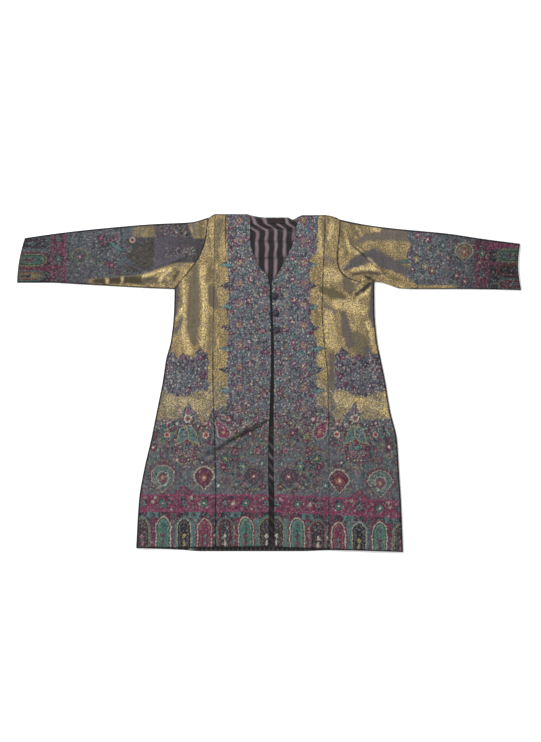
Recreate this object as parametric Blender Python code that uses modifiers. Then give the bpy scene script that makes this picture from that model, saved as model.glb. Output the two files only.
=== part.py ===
# Long woven shawl-cloth jacket, laid flat on its back.
# X runs to the viewer's right, Y runs toward the neck, and the back lies on Z = 0.
# Right and left are the wearer's, so the right front is on the viewer's left.
# Sizes are in millimetres until a mesh is made.

import math

import bmesh
import bpy
from mathutils import Vector

MM = 0.001

# Driving dimensions
SPAN = 1411.0             # cuff to cuff across the jacket
LENGTH = 946.0            # highest shoulder point to the lowest point of the hem
WALL = 1.6                # outer cloth with its lining
FOLD_WALL = 0.4           # extra wall for each millimetre of lift, where cloth doubles in a fold
LINING_WALL = 1.0
GAP = 0.3                 # clearance between layers and across seams
LIFT_LIMIT = 3.3          # the most that a fold raises the cloth off the layer below
PANEL_LOFT = 0.9          # how far a panel rises between its seams
SEAM_REACH = 12.0         # how far a seam pulls the cloth down beside it
LINING_MARGIN = 30.0      # the fronts come down to the back this far past the lining
FOLD_AT_SEAM = 0.45       # share of a fold's lift that is left on a seam
HEAD_PULL = 0.6           # share of the sleeve's loft that its armhole seam takes away
BUTTON_RADIUS = 7.0
BUTTON_HEIGHT = 5.5       # above the shank
BUTTON_RIM = 1.5          # straight side below the dome
BUTTON_UNDERCUT = 1.0     # the underside is this much smaller than the dome
SHANK_RADIUS = 4.0
SHANK_HEIGHT = 1.2
LOOP_THICKNESS = 2.0
LOOP_ROOT_INSET = 5.0     # where the loop is sewn on, back from the right front edge
LOOP_ROOT_SPREAD = 2.2    # half the distance between the loop's two roots
LOOP_THROAT_SPREAD = 3.4  # the same where the loop opens to the button
LOOP_OPENING = 35.0       # half angle of the part of the ring that is left open
LABEL_SIZE = (50.0, 15.0)
LABEL_CENTRE = (20.0, 454.0)

# Resolution of the lofts
BODY_ROWS = 22            # rows from the hem to the underarm
FRONT_COLUMNS = 10        # columns of each front panel
BACK_COLUMNS = 16
ARMHOLE_ROWS = 12         # rows from the underarm to the shoulder
ROW_CROWDING = 1.3        # above 1, rows draw together toward the underarm
ROW_SAG = 24.0            # the rows of the back dip between the underarms, clear of the sleeves
ROW_SAG_REACH = 0.3
SLEEVE_RINGS = 20
LINING_ROWS_UP = 16
LINING_COLUMNS = 12       # shared by the lining and the neck facing, which meet on a curve
FACING_ROWS = 3
DOME_STEPS = 6
BUTTON_SIDES = 16
LOOP_STEPS = 14
RING_CROWDING = 1.35      # above 1, rings draw together toward the armhole
BOW_FADE = 6              # how soon the rings of a sleeve lose the armhole's curve

# The six long seams, from the viewer's left to right
RIGHT_SIDE, RIGHT_PRINCESS, RIGHT_EDGE, LEFT_EDGE, LEFT_PRINCESS, LEFT_SIDE = range(6)

# Heights of each seam. Columns: at the hem, at the underarm or the point of the neck,
# at the shoulder.
SEAM_LEVELS = (
    (-462.0, 263.0, 463.5),
    (-460.5, 272.0, LENGTH / 2),
    (-459.0, 285.5, 471.0),
    (-460.5, 281.5, 465.5),
    (-466.0, 262.0, 470.5),
    (-LENGTH / 2, 283.5, 458.0),
)

# Where the long seams run. Columns: height, then the X of the six seams in order.
# From the underarm up, the side seams follow the armholes instead.
SEAM_ROWS = (
    (-473.0, -372.5, -149.0, -0.5, 15.0, 168.0, 375.5),
    (-328.0, -364.0, -149.0, -0.5, 15.0, 168.0, 369.5),
    (-244.0, -350.0, -150.0, -2.0, 13.2, 168.0, 364.0),
    (-160.0, -330.5, -152.0, -1.0, 13.0, 168.0, 358.5),
    (-76.0, -313.5, -155.0, 2.0, 13.2, 166.0, 339.0),
    (8.0, -297.0, -157.0, 5.0, 14.0, 165.0, 325.0),
    (64.0, -288.5, -157.0, 6.0, 14.0, 160.0, 313.5),
    (120.0, -274.5, -156.5, 6.2, 13.2, 154.0, 302.5),
    (204.0, -266.0, -155.0, 4.5, 10.0, 149.0, 295.5),
    (281.0, -264.5, -154.0, 0.8, 8.0, 150.5, 295.0),
    (297.0, -264.5, -154.0, -3.0, 19.5, 151.0, 295.0),
    (312.0, -264.5, -153.5, -14.0, 29.0, 151.5, 295.0),
    (332.0, -264.5, -153.0, -31.5, 39.0, 152.5, 295.0),
    (365.0, -264.5, -152.0, -45.0, 55.5, 154.0, 295.0),
    (398.0, -264.5, -151.5, -52.0, 70.0, 156.0, 295.0),
    (433.0, -264.5, -151.0, -52.0, 76.5, 157.0, 295.0),
    (473.0, -264.5, -151.0, -52.0, 81.0, 157.0, 295.0),
)

# Armhole seams. Columns: shoulder X and Y, underarm X and Y, bow of the curve in X and Y,
# how far the deepest point leans to the underarm, fullness of the curve.
ARMHOLES = {
    RIGHT_SIDE: (-168.0, 463.5, -264.5, 263.0, 26.0, 0.0, 1.0, 1.3),
    LEFT_SIDE: (197.5, 458.0, 295.0, 283.5, -62.0, -30.0, 1.6, 0.75),
}

# Upper and lower edge of each sleeve. Columns: share of the way to the cuff,
# X and Y of the upper edge, X and Y of the lower edge.
SLEEVE_EDGES = {
    RIGHT_SIDE: (
        (0.0, -168.0, 463.5, -264.5, 263.0),
        (0.1, -219.0, 450.0, -308.0, 264.5),
        (0.3, -322.0, 445.0, -396.0, 269.0),
        (0.6, -476.0, 432.0, -529.0, 276.5),
        (0.8, -580.0, 420.5, -617.0, 281.0),
        (1.0, -683.5, 406.0, -SPAN / 2, 281.0),
    ),
    LEFT_SIDE: (
        (0.0, 197.5, 458.0, 295.0, 283.5),
        (0.03, 212.5, 454.5, 306.5, 284.5),
        (0.08, 238.5, 449.0, 327.0, 280.5),
        (0.13, 264.5, 444.0, 346.0, 272.5),
        (0.18, 290.0, 440.0, 367.0, 265.0),
        (0.3, 351.0, 432.5, 418.0, 263.0),
        (0.6, 501.0, 418.0, 541.0, 263.0),
        (0.8, 602.0, 403.0, 623.0, 262.0),
        (1.0, 702.5, 390.0, SPAN / 2, 260.0),
    ),
}
CUFF_BOW = {RIGHT_SIDE: -4.5, LEFT_SIDE: -7.0}   # X of the middle of the cuff off a straight line
TUBE_EDGE = {False: (0.0, 2.0), True: (1.8, 3.6)}  # outer and inner: insets of the fold and its shoulder

# Upper edge of the back. Columns: X, Y.
BACK_TOP = (
    (-168.0, 463.5),
    (-151.0, LENGTH / 2),
    (-61.0, LENGTH / 2),
    (-52.0, 470.0),
    (-11.0, 464.0),
    (52.0, 464.0),
    (66.0, 458.0),
    (81.0, 465.0),
    (95.0, 470.5),
    (157.0, 470.5),
    (185.0, 465.0),
    (197.5, 458.0),
)

# Lower edge of the back, which shows below the fronts in the middle. Columns: X, Y.
BACK_HEM = (
    (-372.5, -462.0),
    (-250.0, -466.5),
    (-190.0, -470.5),
    (90.0, -470.5),
    (168.0, -468.0),
    (375.5, -LENGTH / 2),
)

# Edges of the lining, and the seam that joins it to the neck facing.
# Columns: Y, X of the right-hand edge of the wearer, X of the left-hand edge.
LINING_ROWS = (
    (-469.5, -200.0, 100.0),
    (-300.0, -110.0, 90.0),
    (200.0, -70.0, 80.0),
    (300.0, -76.0, 96.0),
    (460.0, -76.0, 104.0),
)

# Seam between the lining and the neck facing. Columns: X, Y.
FACING_SEAM = (
    (-76.0, 447.0),
    (-52.0, 442.0),
    (-30.0, 434.5),
    (25.0, 431.0),
    (76.0, 420.0),
    (104.0, 412.0),
)
FACING_TOP_DROP = 2.5     # the facing stops short of the edge of the back

# Largest folds. Columns: X and Y where the fold starts, X and Y where it ends,
# half width, lift.
FOLDS = (
    (-228.0, 272.0, -240.0, 70.0, 13.0, 2.6),
    (-186.0, 372.0, -196.0, 100.0, 24.0, 1.9),
    (-256.0, 318.0, -238.0, 268.0, 7.0, 3.0),
    (-20.0, -118.0, -198.0, -222.0, 26.0, 1.5),
    (-300.0, -60.0, -330.0, -400.0, 24.0, 1.4),
    (-95.0, 60.0, -86.0, -440.0, 28.0, 1.0),
    (238.0, 246.0, 290.0, 284.0, 8.0, 4.6),
    (206.0, 336.0, 236.0, 262.0, 15.0, 2.6),
    (196.0, 232.0, 292.0, -20.0, 22.0, 2.2),
    (283.0, 262.0, 298.0, 60.0, 11.0, 2.0),
    (250.0, -60.0, 300.0, -420.0, 28.0, 1.5),
    (84.0, 80.0, 92.0, -420.0, 28.0, 1.0),
    (226.0, 390.0, 326.0, 304.0, 8.0, 4.0),
    (208.0, 330.0, 280.0, 372.0, 12.0, 2.4),
    (280.0, 372.0, 372.0, 318.0, 13.0, 2.6),
    (250.0, 412.0, 372.0, 416.0, 10.0, 2.2),
    (330.0, 300.0, 480.0, 282.0, 15.0, 2.2),
    (480.0, 372.0, 640.0, 352.0, 22.0, 1.4),
    (-362.0, 300.0, -262.0, 342.0, 12.0, 2.8),
    (-300.0, 288.0, -236.0, 330.0, 7.0, 3.0),
    (-190.0, 424.0, -218.0, 330.0, 13.0, 2.0),
    (-480.0, 300.0, -380.0, 288.0, 12.0, 1.8),
    (-640.0, 350.0, -470.0, 372.0, 22.0, 1.4),
)

# Buttons down the left front edge. Columns: X and Y of each centre.
BUTTONS = ((14.5, 242.5), (19.0, 195.5), (21.5, 147.5))

# Colours, then roughness and metallic value, of each piece
FINISHES = {
    "shawl": ((0.30, 0.26, 0.20, 1.0), 0.55, 0.15),
    "shawl_centre": ((0.14, 0.14, 0.17, 1.0), 0.7, 0.0),
    "lining": ((0.09, 0.06, 0.07, 1.0), 0.45, 0.0),
    "label": ((0.02, 0.02, 0.02, 1.0), 0.6, 0.0),
    "button": ((0.02, 0.02, 0.03, 1.0), 0.6, 0.0),
}


def clear_scene():
    for item in list(bpy.data.objects):
        bpy.data.objects.remove(item, do_unlink=True)


def mix(start, end, share):
    return start + (end - start) * share


def smooth(share):
    share = min(max(share, 0.0), 1.0)
    return share * share * (3.0 - 2.0 * share)


def through(rows, column, at):
    """Smooth curve through one column of a table whose first column rises.

    It turns only at the table's own rows, so it never swings past them.
    """
    last = len(rows) - 1
    at = min(max(at, rows[0][0]), rows[last][0])
    here = max(index for index in range(last) if rows[index][0] <= at)

    def steepness(index):
        low, high = rows[index], rows[index + 1]
        return (high[column] - low[column]) / (high[0] - low[0])

    def slope(index):
        if index in (0, last):
            return steepness(min(index, last - 1))
        before, after = steepness(index - 1), steepness(index)
        return 2 * before * after / (before + after) if before * after > 0 else 0.0

    low, high = rows[here], rows[here + 1]
    width = high[0] - low[0]
    share = (at - low[0]) / width
    square, cube = share * share, share * share * share
    return (
        (2 * cube - 3 * square + 1) * low[column]
        + (cube - 2 * square + share) * width * slope(here)
        + (3 * square - 2 * cube) * high[column]
        + (cube - square) * width * slope(here + 1)
    )


def armhole(side, share):
    """Point of an armhole seam, from the shoulder (0) to the underarm (1)."""
    top_x, top_y, low_x, low_y, bow_x, bow_y, lean, fullness = ARMHOLES[side]
    bow = max(math.sin(math.pi * share**lean), 0.0) ** fullness
    return Vector((mix(top_x, low_x, share) + bow_x * bow, mix(top_y, low_y, share) + bow_y * bow))


def seam(which, height):
    """Point of a long seam: height 0 is the hem, 1 the underarm and 2 the shoulder."""
    if height > 1.0 and which in ARMHOLES:
        return armhole(which, 2.0 - height)
    hem, underarm, shoulder = SEAM_LEVELS[which]
    y = mix(hem, underarm, height) if height <= 1.0 else mix(underarm, shoulder, height - 1.0)
    return Vector((through(SEAM_ROWS, 1 + which, y), y))


def beside_seam(which, height, offset):
    """Point beside a seam, offset to the viewer's right of it when positive."""
    step = 0.01
    ahead = seam(which, min(height + step, 2.0))
    behind = seam(which, max(height - step, 0.0))
    along = (ahead - behind).normalized()
    return seam(which, height) + Vector((along.y, -along.x)) * offset


def row_heights():
    """Heights of the rows that every panel of the body shares."""
    body = [1.0 - (1.0 - row / BODY_ROWS) ** ROW_CROWDING for row in range(BODY_ROWS)]
    return body + [1.0 + row / ARMHOLE_ROWS for row in range(ARMHOLE_ROWS + 1)]


def fold_lift(x, y):
    """Lift of the large folds at a place, before the limit."""
    lift = 0.0
    for start_x, start_y, end_x, end_y, half_width, height in FOLDS:
        along_x, along_y = end_x - start_x, end_y - start_y
        length = math.hypot(along_x, along_y)
        share = ((x - start_x) * along_x + (y - start_y) * along_y) / length**2
        if -0.2 < share < 1.2:
            side = ((x - start_x) * along_y - (y - start_y) * along_x) / length
            taper = smooth((share + 0.2) / 0.4) * smooth((1.2 - share) / 0.4)
            lift += height * taper * math.exp(-((side / half_width) ** 2))
    return lift


def lifted(raw):
    """Lift with its limit, so that no fold stands hollow."""
    return LIFT_LIMIT * (1.0 - math.exp(-raw / LIFT_LIMIT))


def wall_at(lift):
    return WALL + FOLD_WALL * lift


def lining_cover(x, y):
    """1 over the lining, falling to 0 a little way past its edges."""
    if y > LINING_ROWS[-1][0] + SEAM_REACH:
        return 1.0
    right_edge = through(LINING_ROWS, 1, y)
    left_edge = through(LINING_ROWS, 2, y)
    past = max(right_edge - x, x - left_edge)
    return 1.0 - smooth((past - LINING_MARGIN) / SEAM_REACH)


def make_object(name, mesh_data, finish):
    mesh = bpy.data.meshes.new(name)
    mesh_data.normal_update()
    mesh_data.to_mesh(mesh)
    mesh_data.free()
    mesh.shade_smooth()
    mesh.set_sharp_from_angle(angle=math.radians(50.0))
    item = bpy.data.objects.new(name, mesh)
    finish_object(item, finish)
    return item


def finish_object(item, finish):
    colour, roughness, metallic = FINISHES[finish]
    material = bpy.data.materials.new(item.name)
    material.use_nodes = True
    shader = material.node_tree.nodes["Principled BSDF"]
    shader.inputs["Base Color"].default_value = colour
    shader.inputs["Roughness"].default_value = roughness
    shader.inputs["Metallic"].default_value = metallic
    item.data.materials.append(material)
    jacket.objects.link(item)


def cloth_panel(name, columns, rows, underside, wall, finish):
    """Grid laid on an underside and raised by its wall.

    underside(across, row) gives a point and wall(point) the thickness there.
    """
    mesh_data = bmesh.new()
    bmesh.ops.create_grid(mesh_data, x_segments=columns, y_segments=rows, size=0.5)
    for vertex in mesh_data.verts:
        across = vertex.co.x + 0.5
        row = round((vertex.co.y + 0.5) * rows)
        vertex.co = Vector(underside(across, row)) * MM
    raised = bmesh.ops.extrude_face_region(mesh_data, geom=mesh_data.faces[:])
    for item in raised["geom"]:
        if isinstance(item, bmesh.types.BMVert):
            item.co.z += wall(item.co / MM) * MM
    bmesh.ops.recalc_face_normals(mesh_data, faces=mesh_data.faces[:])
    return make_object(name, mesh_data, finish)


def front_lift(x, y, from_seam):
    """Lift of a front panel, which its seams pull down."""
    seam_pull = 1.0 - math.exp(-((from_seam / SEAM_REACH) ** 2))
    return lifted(PANEL_LOFT * seam_pull + fold_lift(x, y) * mix(FOLD_AT_SEAM, 1.0, seam_pull))


def front_panel(name, first_seam, second_seam, finish):
    heights = row_heights()

    def edge_distance(x, y):
        return min(abs(x - through(SEAM_ROWS, 1 + which, y)) for which in (first_seam, second_seam))

    def underside(across, row):
        start = beside_seam(first_seam, heights[row], GAP / 2)
        end = beside_seam(second_seam, heights[row], -GAP / 2)
        x, y = start.lerp(end, across)
        rest = WALL + GAP + (LINING_WALL + GAP) * lining_cover(x, y)
        return x, y, rest + front_lift(x, y, edge_distance(x, y))

    def wall(point):
        return wall_at(front_lift(point.x, point.y, edge_distance(point.x, point.y)))

    return cloth_panel(name, FRONT_COLUMNS, len(heights) - 1, underside, wall, finish)


def off_chord(rows, across):
    """How far an edge of the back stands off the straight line between its ends."""
    (first_x, first_y), (last_x, last_y) = rows[0], rows[-1]
    return through(rows, 1, mix(first_x, last_x, across)) - mix(first_y, last_y, across)


def back_panel():
    heights = row_heights()

    def underside(across, row):
        height = heights[row]
        start = beside_seam(RIGHT_SIDE, height, GAP / 2)
        end = beside_seam(LEFT_SIDE, height, -GAP / 2)
        x, y = start.lerp(end, across)
        if height > 1.0:
            y += off_chord(BACK_TOP, across) * (height - 1.0) ** 2
        else:
            y += off_chord(BACK_HEM, across) * (1.0 - height) ** 4
        near_underarm = math.exp(-(((height - 1.0) / ROW_SAG_REACH) ** 2))
        y -= ROW_SAG * math.sin(math.pi * across) * near_underarm
        return x, y, 0.0

    return cloth_panel("back", BACK_COLUMNS, len(heights) - 1, underside, lambda point: WALL, "shawl")


def lining_panel():
    bottom, highest = LINING_ROWS[0][0], LINING_ROWS[-1][0]

    def underside(across, row):
        share = row / LINING_ROWS_UP
        level = mix(bottom, highest, share)
        x = mix(through(LINING_ROWS, 1, level), through(LINING_ROWS, 2, level), across)
        top = through(FACING_SEAM, 1, x) - GAP
        return x, mix(bottom, top, share), WALL + GAP

    return cloth_panel(
        "lining_back", LINING_COLUMNS, LINING_ROWS_UP, underside, lambda point: LINING_WALL, "lining"
    )


def facing_panel():
    first_x, last_x = FACING_SEAM[0][0], FACING_SEAM[-1][0]

    def underside(across, row):
        x = mix(first_x, last_x, across)
        low = through(FACING_SEAM, 1, x)
        high = through(BACK_TOP, 1, x) - FACING_TOP_DROP
        return x, mix(low, high, row / FACING_ROWS), WALL + GAP

    return cloth_panel(
        "neck_facing", LINING_COLUMNS, FACING_ROWS, underside, lambda point: LINING_WALL, "lining"
    )


def neck_label():
    """Small woven label, sewn flat to the facing in the middle of the neck."""
    width, depth = LABEL_SIZE
    centre_x, centre_y = LABEL_CENTRE
    rest = WALL + LINING_WALL + 2 * GAP

    def underside(across, row):
        return centre_x + (across - 0.5) * width, centre_y + (row - 0.5) * depth, rest

    return cloth_panel("neck_label", 2, 1, underside, lambda point: LINING_WALL, "label")


def sleeve_edge(side, share, upper):
    rows = SLEEVE_EDGES[side]
    column = 1 if upper else 3
    return Vector((through(rows, column, share), through(rows, column + 1, share)))


def sleeve_point(side, ring, across):
    """Point of a sleeve in plan: ring 0 is the armhole and 1 the cuff."""
    outward = -1.0 if side == RIGHT_SIDE else 1.0
    straight = sleeve_edge(side, ring, True).lerp(sleeve_edge(side, ring, False), across)
    chord = armhole(side, 0.0).lerp(armhole(side, 1.0), across)
    bow = armhole(side, across) - chord
    point = straight + bow * (1.0 - ring) ** BOW_FADE
    point.x += CUFF_BOW[side] * math.sin(math.pi * across) * ring**4
    if ring == 0.0:
        point = beside_seam(side, 2.0 - across, outward * GAP)
    return point


def sleeve_ring(side, ring, inner):
    """Closed section of the flattened tube, over the top and back along the floor."""
    crossing = [sleeve_point(side, ring, step / ARMHOLE_ROWS) for step in range(ARMHOLE_ROWS + 1)]
    width = (crossing[-1] - crossing[0]).length
    edge_inset, shoulder_inset = TUBE_EDGE[inner]

    def inset(end, inward, distance):
        return end + (inward - end).normalized() * distance

    def lift(point, step):
        from_edge = min(step, ARMHOLE_ROWS - step) / ARMHOLE_ROWS * width
        pull = 1.0 - math.exp(-((from_edge / SEAM_REACH) ** 2))
        if ring == 0.0:
            pull *= 1.0 - HEAD_PULL
        return lifted(PANEL_LOFT * pull + fold_lift(point.x, point.y) * mix(FOLD_AT_SEAM, 1.0, pull))

    upper = [(inset(crossing[0], crossing[1], shoulder_inset), 0)]
    upper += [(crossing[step], step) for step in range(1, ARMHOLE_ROWS)]
    upper += [(inset(crossing[-1], crossing[-2], shoulder_inset), ARMHOLE_ROWS)]

    rest = WALL + GAP
    top_points, floor_points = [], []
    for point, step in upper:
        raised = lift(point, step)
        top = rest + raised + (0.0 if inner else wall_at(raised))
        top_points.append((point.x, point.y, top))
        floor_points.append((point.x, point.y, WALL if inner else 0.0))

    def edge_point(end, inward, nearest):
        place = inset(end, inward, edge_inset)
        floor = WALL if inner else 0.0
        return place.x, place.y, (nearest[2] + floor) / 2

    first = edge_point(crossing[0], crossing[1], top_points[0])
    last = edge_point(crossing[-1], crossing[-2], top_points[-1])
    section = [first] + top_points + [last] + floor_points[::-1]
    return [Vector(point) * MM for point in section]


def sleeve(name, side):
    """Flattened tube: outer sections to the cuff, then inner sections back to the armhole."""
    shares = [(step / SLEEVE_RINGS) ** RING_CROWDING for step in range(SLEEVE_RINGS + 1)]
    rings = [sleeve_ring(side, share, False) for share in shares]
    rings += [sleeve_ring(side, share, True) for share in reversed(shares)]
    mesh_data = bmesh.new()
    loops = [[mesh_data.verts.new(point) for point in ring] for ring in rings]
    count = len(loops[0])
    for index, loop in enumerate(loops):
        following = loops[(index + 1) % len(loops)]
        for corner in range(count):
            beside = (corner + 1) % count
            mesh_data.faces.new((loop[corner], loop[beside], following[beside], following[corner]))
    bmesh.ops.recalc_face_normals(mesh_data, faces=mesh_data.faces[:])
    return make_object(name, mesh_data, "shawl")


def front_top(x, y, which, neighbour):
    """Height of a front panel's outer face near its front edge."""
    distance = min(abs(x - through(SEAM_ROWS, 1 + line, y)) for line in (which, neighbour))
    lift = front_lift(x, y, distance)
    rest = WALL + GAP + (LINING_WALL + GAP) * lining_cover(x, y)
    return rest + lift + wall_at(lift)


def button_seat(x, y):
    """Height that clears the left front all round under a button and its loop."""
    reach = BUTTON_RADIUS + LOOP_THICKNESS
    turns = [index * math.tau / 12 for index in range(12)]
    rim = [(x + reach * math.cos(turn), y + reach * math.sin(turn)) for turn in turns]
    return max(front_top(rim_x, rim_y, LEFT_EDGE, LEFT_PRINCESS) for rim_x, rim_y in rim) + GAP


def button(name, x, y):
    """Cloth-covered button: a turned dome on a short shank."""
    seat = button_seat(x, y)
    rim, dome = SHANK_HEIGHT + BUTTON_RIM, BUTTON_HEIGHT - BUTTON_RIM
    turns = [step / DOME_STEPS * math.pi / 2 for step in range(DOME_STEPS + 1)]
    profile = [(BUTTON_RADIUS * math.sin(turn), rim + dome * math.cos(turn)) for turn in turns]
    profile += [
        (BUTTON_RADIUS - BUTTON_UNDERCUT, SHANK_HEIGHT),
        (SHANK_RADIUS, SHANK_HEIGHT),
        (SHANK_RADIUS, 0.0),
        (0.0, 0.0),
    ]
    mesh = bpy.data.meshes.new(name)
    points = [(radius * MM, 0.0, (seat + height) * MM) for radius, height in profile]
    mesh.from_pydata(points, [(index, index + 1) for index in range(len(points) - 1)], [])
    item = bpy.data.objects.new(name, mesh)
    item.location = (x * MM, y * MM, 0.0)
    turned = item.modifiers.new("Turn", "SCREW")
    turned.steps = BUTTON_SIDES
    turned.render_steps = BUTTON_SIDES
    turned.use_merge_vertices = True
    turned.merge_threshold = 0.00001
    finish_object(item, "button")
    return item


def cord_loop(name, x, y):
    """Loop of covered cord from the right front edge round a button's dome."""
    radius = BUTTON_RADIUS + LOOP_THICKNESS / 2 + GAP
    root_x = through(SEAM_ROWS, 1 + RIGHT_EDGE, y) - LOOP_ROOT_INSET
    throat_x = mix(root_x, x - radius, 0.5)
    under_root = front_top(root_x, y, RIGHT_PRINCESS, RIGHT_EDGE) + 2 * GAP
    level = max(button_seat(x, y), under_root) + LOOP_THICKNESS / 2
    widest = math.pi - math.radians(LOOP_OPENING)
    turns = [mix(widest, -widest, step / LOOP_STEPS) for step in range(LOOP_STEPS + 1)]
    points = [(root_x, y + LOOP_ROOT_SPREAD, level), (throat_x, y + LOOP_THROAT_SPREAD, level)]
    points += [(x + radius * math.cos(turn), y + radius * math.sin(turn), level) for turn in turns]
    points += [(throat_x, y - LOOP_THROAT_SPREAD, level), (root_x, y - LOOP_ROOT_SPREAD, level)]
    curve = bpy.data.curves.new(name, "CURVE")
    curve.dimensions = "3D"
    curve.bevel_depth = LOOP_THICKNESS / 2 * MM
    curve.bevel_resolution = 2
    curve.use_fill_caps = True
    spline = curve.splines.new("POLY")
    spline.points.add(len(points) - 1)
    for place, point in zip(spline.points, points):
        place.co = (*(Vector(point) * MM), 1.0)
    item = bpy.data.objects.new(name, curve)
    finish_object(item, "button")
    return item


clear_scene()
jacket = bpy.data.collections.new("pashmina_jacket")
bpy.context.scene.collection.children.link(jacket)

back_panel()
lining_panel()
facing_panel()
neck_label()
front_panel("front_right_side", RIGHT_SIDE, RIGHT_PRINCESS, "shawl")
front_panel("front_right_centre", RIGHT_PRINCESS, RIGHT_EDGE, "shawl_centre")
front_panel("front_left_centre", LEFT_EDGE, LEFT_PRINCESS, "shawl_centre")
front_panel("front_left_side", LEFT_PRINCESS, LEFT_SIDE, "shawl")
sleeve("sleeve_right", RIGHT_SIDE)
sleeve("sleeve_left", LEFT_SIDE)
for number, (button_x, button_y) in enumerate(BUTTONS, start=1):
    button(f"button_{number}", button_x, button_y)
    cord_loop(f"loop_{number}", button_x, button_y)
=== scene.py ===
import math

import bpy
import numpy as np
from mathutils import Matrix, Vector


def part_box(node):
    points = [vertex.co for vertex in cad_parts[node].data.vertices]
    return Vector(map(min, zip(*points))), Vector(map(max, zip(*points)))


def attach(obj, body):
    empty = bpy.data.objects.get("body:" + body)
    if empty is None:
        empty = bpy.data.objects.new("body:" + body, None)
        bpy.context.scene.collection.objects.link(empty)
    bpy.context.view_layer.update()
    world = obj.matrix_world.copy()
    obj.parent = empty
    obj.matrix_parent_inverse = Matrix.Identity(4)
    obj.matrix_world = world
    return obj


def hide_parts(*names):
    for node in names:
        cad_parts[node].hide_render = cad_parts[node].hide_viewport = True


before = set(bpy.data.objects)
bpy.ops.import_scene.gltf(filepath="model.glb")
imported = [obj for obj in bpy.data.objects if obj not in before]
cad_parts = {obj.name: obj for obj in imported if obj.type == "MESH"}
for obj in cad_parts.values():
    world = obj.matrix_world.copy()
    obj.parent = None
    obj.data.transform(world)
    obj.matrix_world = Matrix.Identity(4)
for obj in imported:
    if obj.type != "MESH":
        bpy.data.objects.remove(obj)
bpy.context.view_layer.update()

MM = 0.001

# The cut and the way it lies, as in the solids
SPAN = 1411.0
LENGTH = 946.0
WALL = 1.6
FOLD_WALL = 0.4
LINING_WALL = 1.0
GAP = 0.3
LIFT_LIMIT = 3.3
PANEL_LOFT = 0.9
SEAM_REACH = 12.0
LINING_MARGIN = 30.0
FOLD_AT_SEAM = 0.45
ROW_SAG = 24.0
ROW_SAG_REACH = 0.3
BOW_FADE = 6
BODY_HEIGHT = 735.0       # hem to underarm
ARMHOLE_HEIGHT = 195.0    # underarm to shoulder
CENTRE_X = 7.0            # the woven pattern mirrors about this line
BODY_LENGTH = BODY_HEIGHT + ARMHOLE_HEIGHT

# The six long seams, from the viewer's left to right
RIGHT_SIDE, RIGHT_PRINCESS, RIGHT_EDGE, LEFT_EDGE, LEFT_PRINCESS, LEFT_SIDE = range(6)

# Heights of each seam at the hem, at the underarm or point of the neck, and at the shoulder
SEAM_LEVELS = (
    (-462.0, 263.0, 463.5),
    (-460.5, 272.0, LENGTH / 2),
    (-459.0, 285.5, 471.0),
    (-460.5, 281.5, 465.5),
    (-466.0, 262.0, 470.5),
    (-LENGTH / 2, 283.5, 458.0),
)

# Height, then the X of the six seams in order
SEAM_ROWS = (
    (-473.0, -372.5, -149.0, -0.5, 15.0, 168.0, 375.5),
    (-328.0, -364.0, -149.0, -0.5, 15.0, 168.0, 369.5),
    (-244.0, -350.0, -150.0, -2.0, 13.2, 168.0, 364.0),
    (-160.0, -330.5, -152.0, -1.0, 13.0, 168.0, 358.5),
    (-76.0, -313.5, -155.0, 2.0, 13.2, 166.0, 339.0),
    (8.0, -297.0, -157.0, 5.0, 14.0, 165.0, 325.0),
    (64.0, -288.5, -157.0, 6.0, 14.0, 160.0, 313.5),
    (120.0, -274.5, -156.5, 6.2, 13.2, 154.0, 302.5),
    (204.0, -266.0, -155.0, 4.5, 10.0, 149.0, 295.5),
    (281.0, -264.5, -154.0, 0.8, 8.0, 150.5, 295.0),
    (297.0, -264.5, -154.0, -3.0, 19.5, 151.0, 295.0),
    (312.0, -264.5, -153.5, -14.0, 29.0, 151.5, 295.0),
    (332.0, -264.5, -153.0, -31.5, 39.0, 152.5, 295.0),
    (365.0, -264.5, -152.0, -45.0, 55.5, 154.0, 295.0),
    (398.0, -264.5, -151.5, -52.0, 70.0, 156.0, 295.0),
    (433.0, -264.5, -151.0, -52.0, 76.5, 157.0, 295.0),
    (473.0, -264.5, -151.0, -52.0, 81.0, 157.0, 295.0),
)

# Shoulder X and Y, underarm X and Y, bow of the curve in X and Y, lean, fullness
ARMHOLES = {
    RIGHT_SIDE: (-168.0, 463.5, -264.5, 263.0, 26.0, 0.0, 1.0, 1.3),
    LEFT_SIDE: (197.5, 458.0, 295.0, 283.5, -62.0, -30.0, 1.6, 0.75),
}

# Share of the way to the cuff, X and Y of the upper edge, X and Y of the lower edge
SLEEVE_EDGES = {
    RIGHT_SIDE: (
        (0.0, -168.0, 463.5, -264.5, 263.0),
        (0.1, -219.0, 450.0, -308.0, 264.5),
        (0.3, -322.0, 445.0, -396.0, 269.0),
        (0.6, -476.0, 432.0, -529.0, 276.5),
        (0.8, -580.0, 420.5, -617.0, 281.0),
        (1.0, -683.5, 406.0, -SPAN / 2, 281.0),
    ),
    LEFT_SIDE: (
        (0.0, 197.5, 458.0, 295.0, 283.5),
        (0.03, 212.5, 454.5, 306.5, 284.5),
        (0.08, 238.5, 449.0, 327.0, 280.5),
        (0.13, 264.5, 444.0, 346.0, 272.5),
        (0.18, 290.0, 440.0, 367.0, 265.0),
        (0.3, 351.0, 432.5, 418.0, 263.0),
        (0.6, 501.0, 418.0, 541.0, 263.0),
        (0.8, 602.0, 403.0, 623.0, 262.0),
        (1.0, 702.5, 390.0, SPAN / 2, 260.0),
    ),
}
CUFF_BOW = {RIGHT_SIDE: -4.5, LEFT_SIDE: -7.0}

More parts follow.
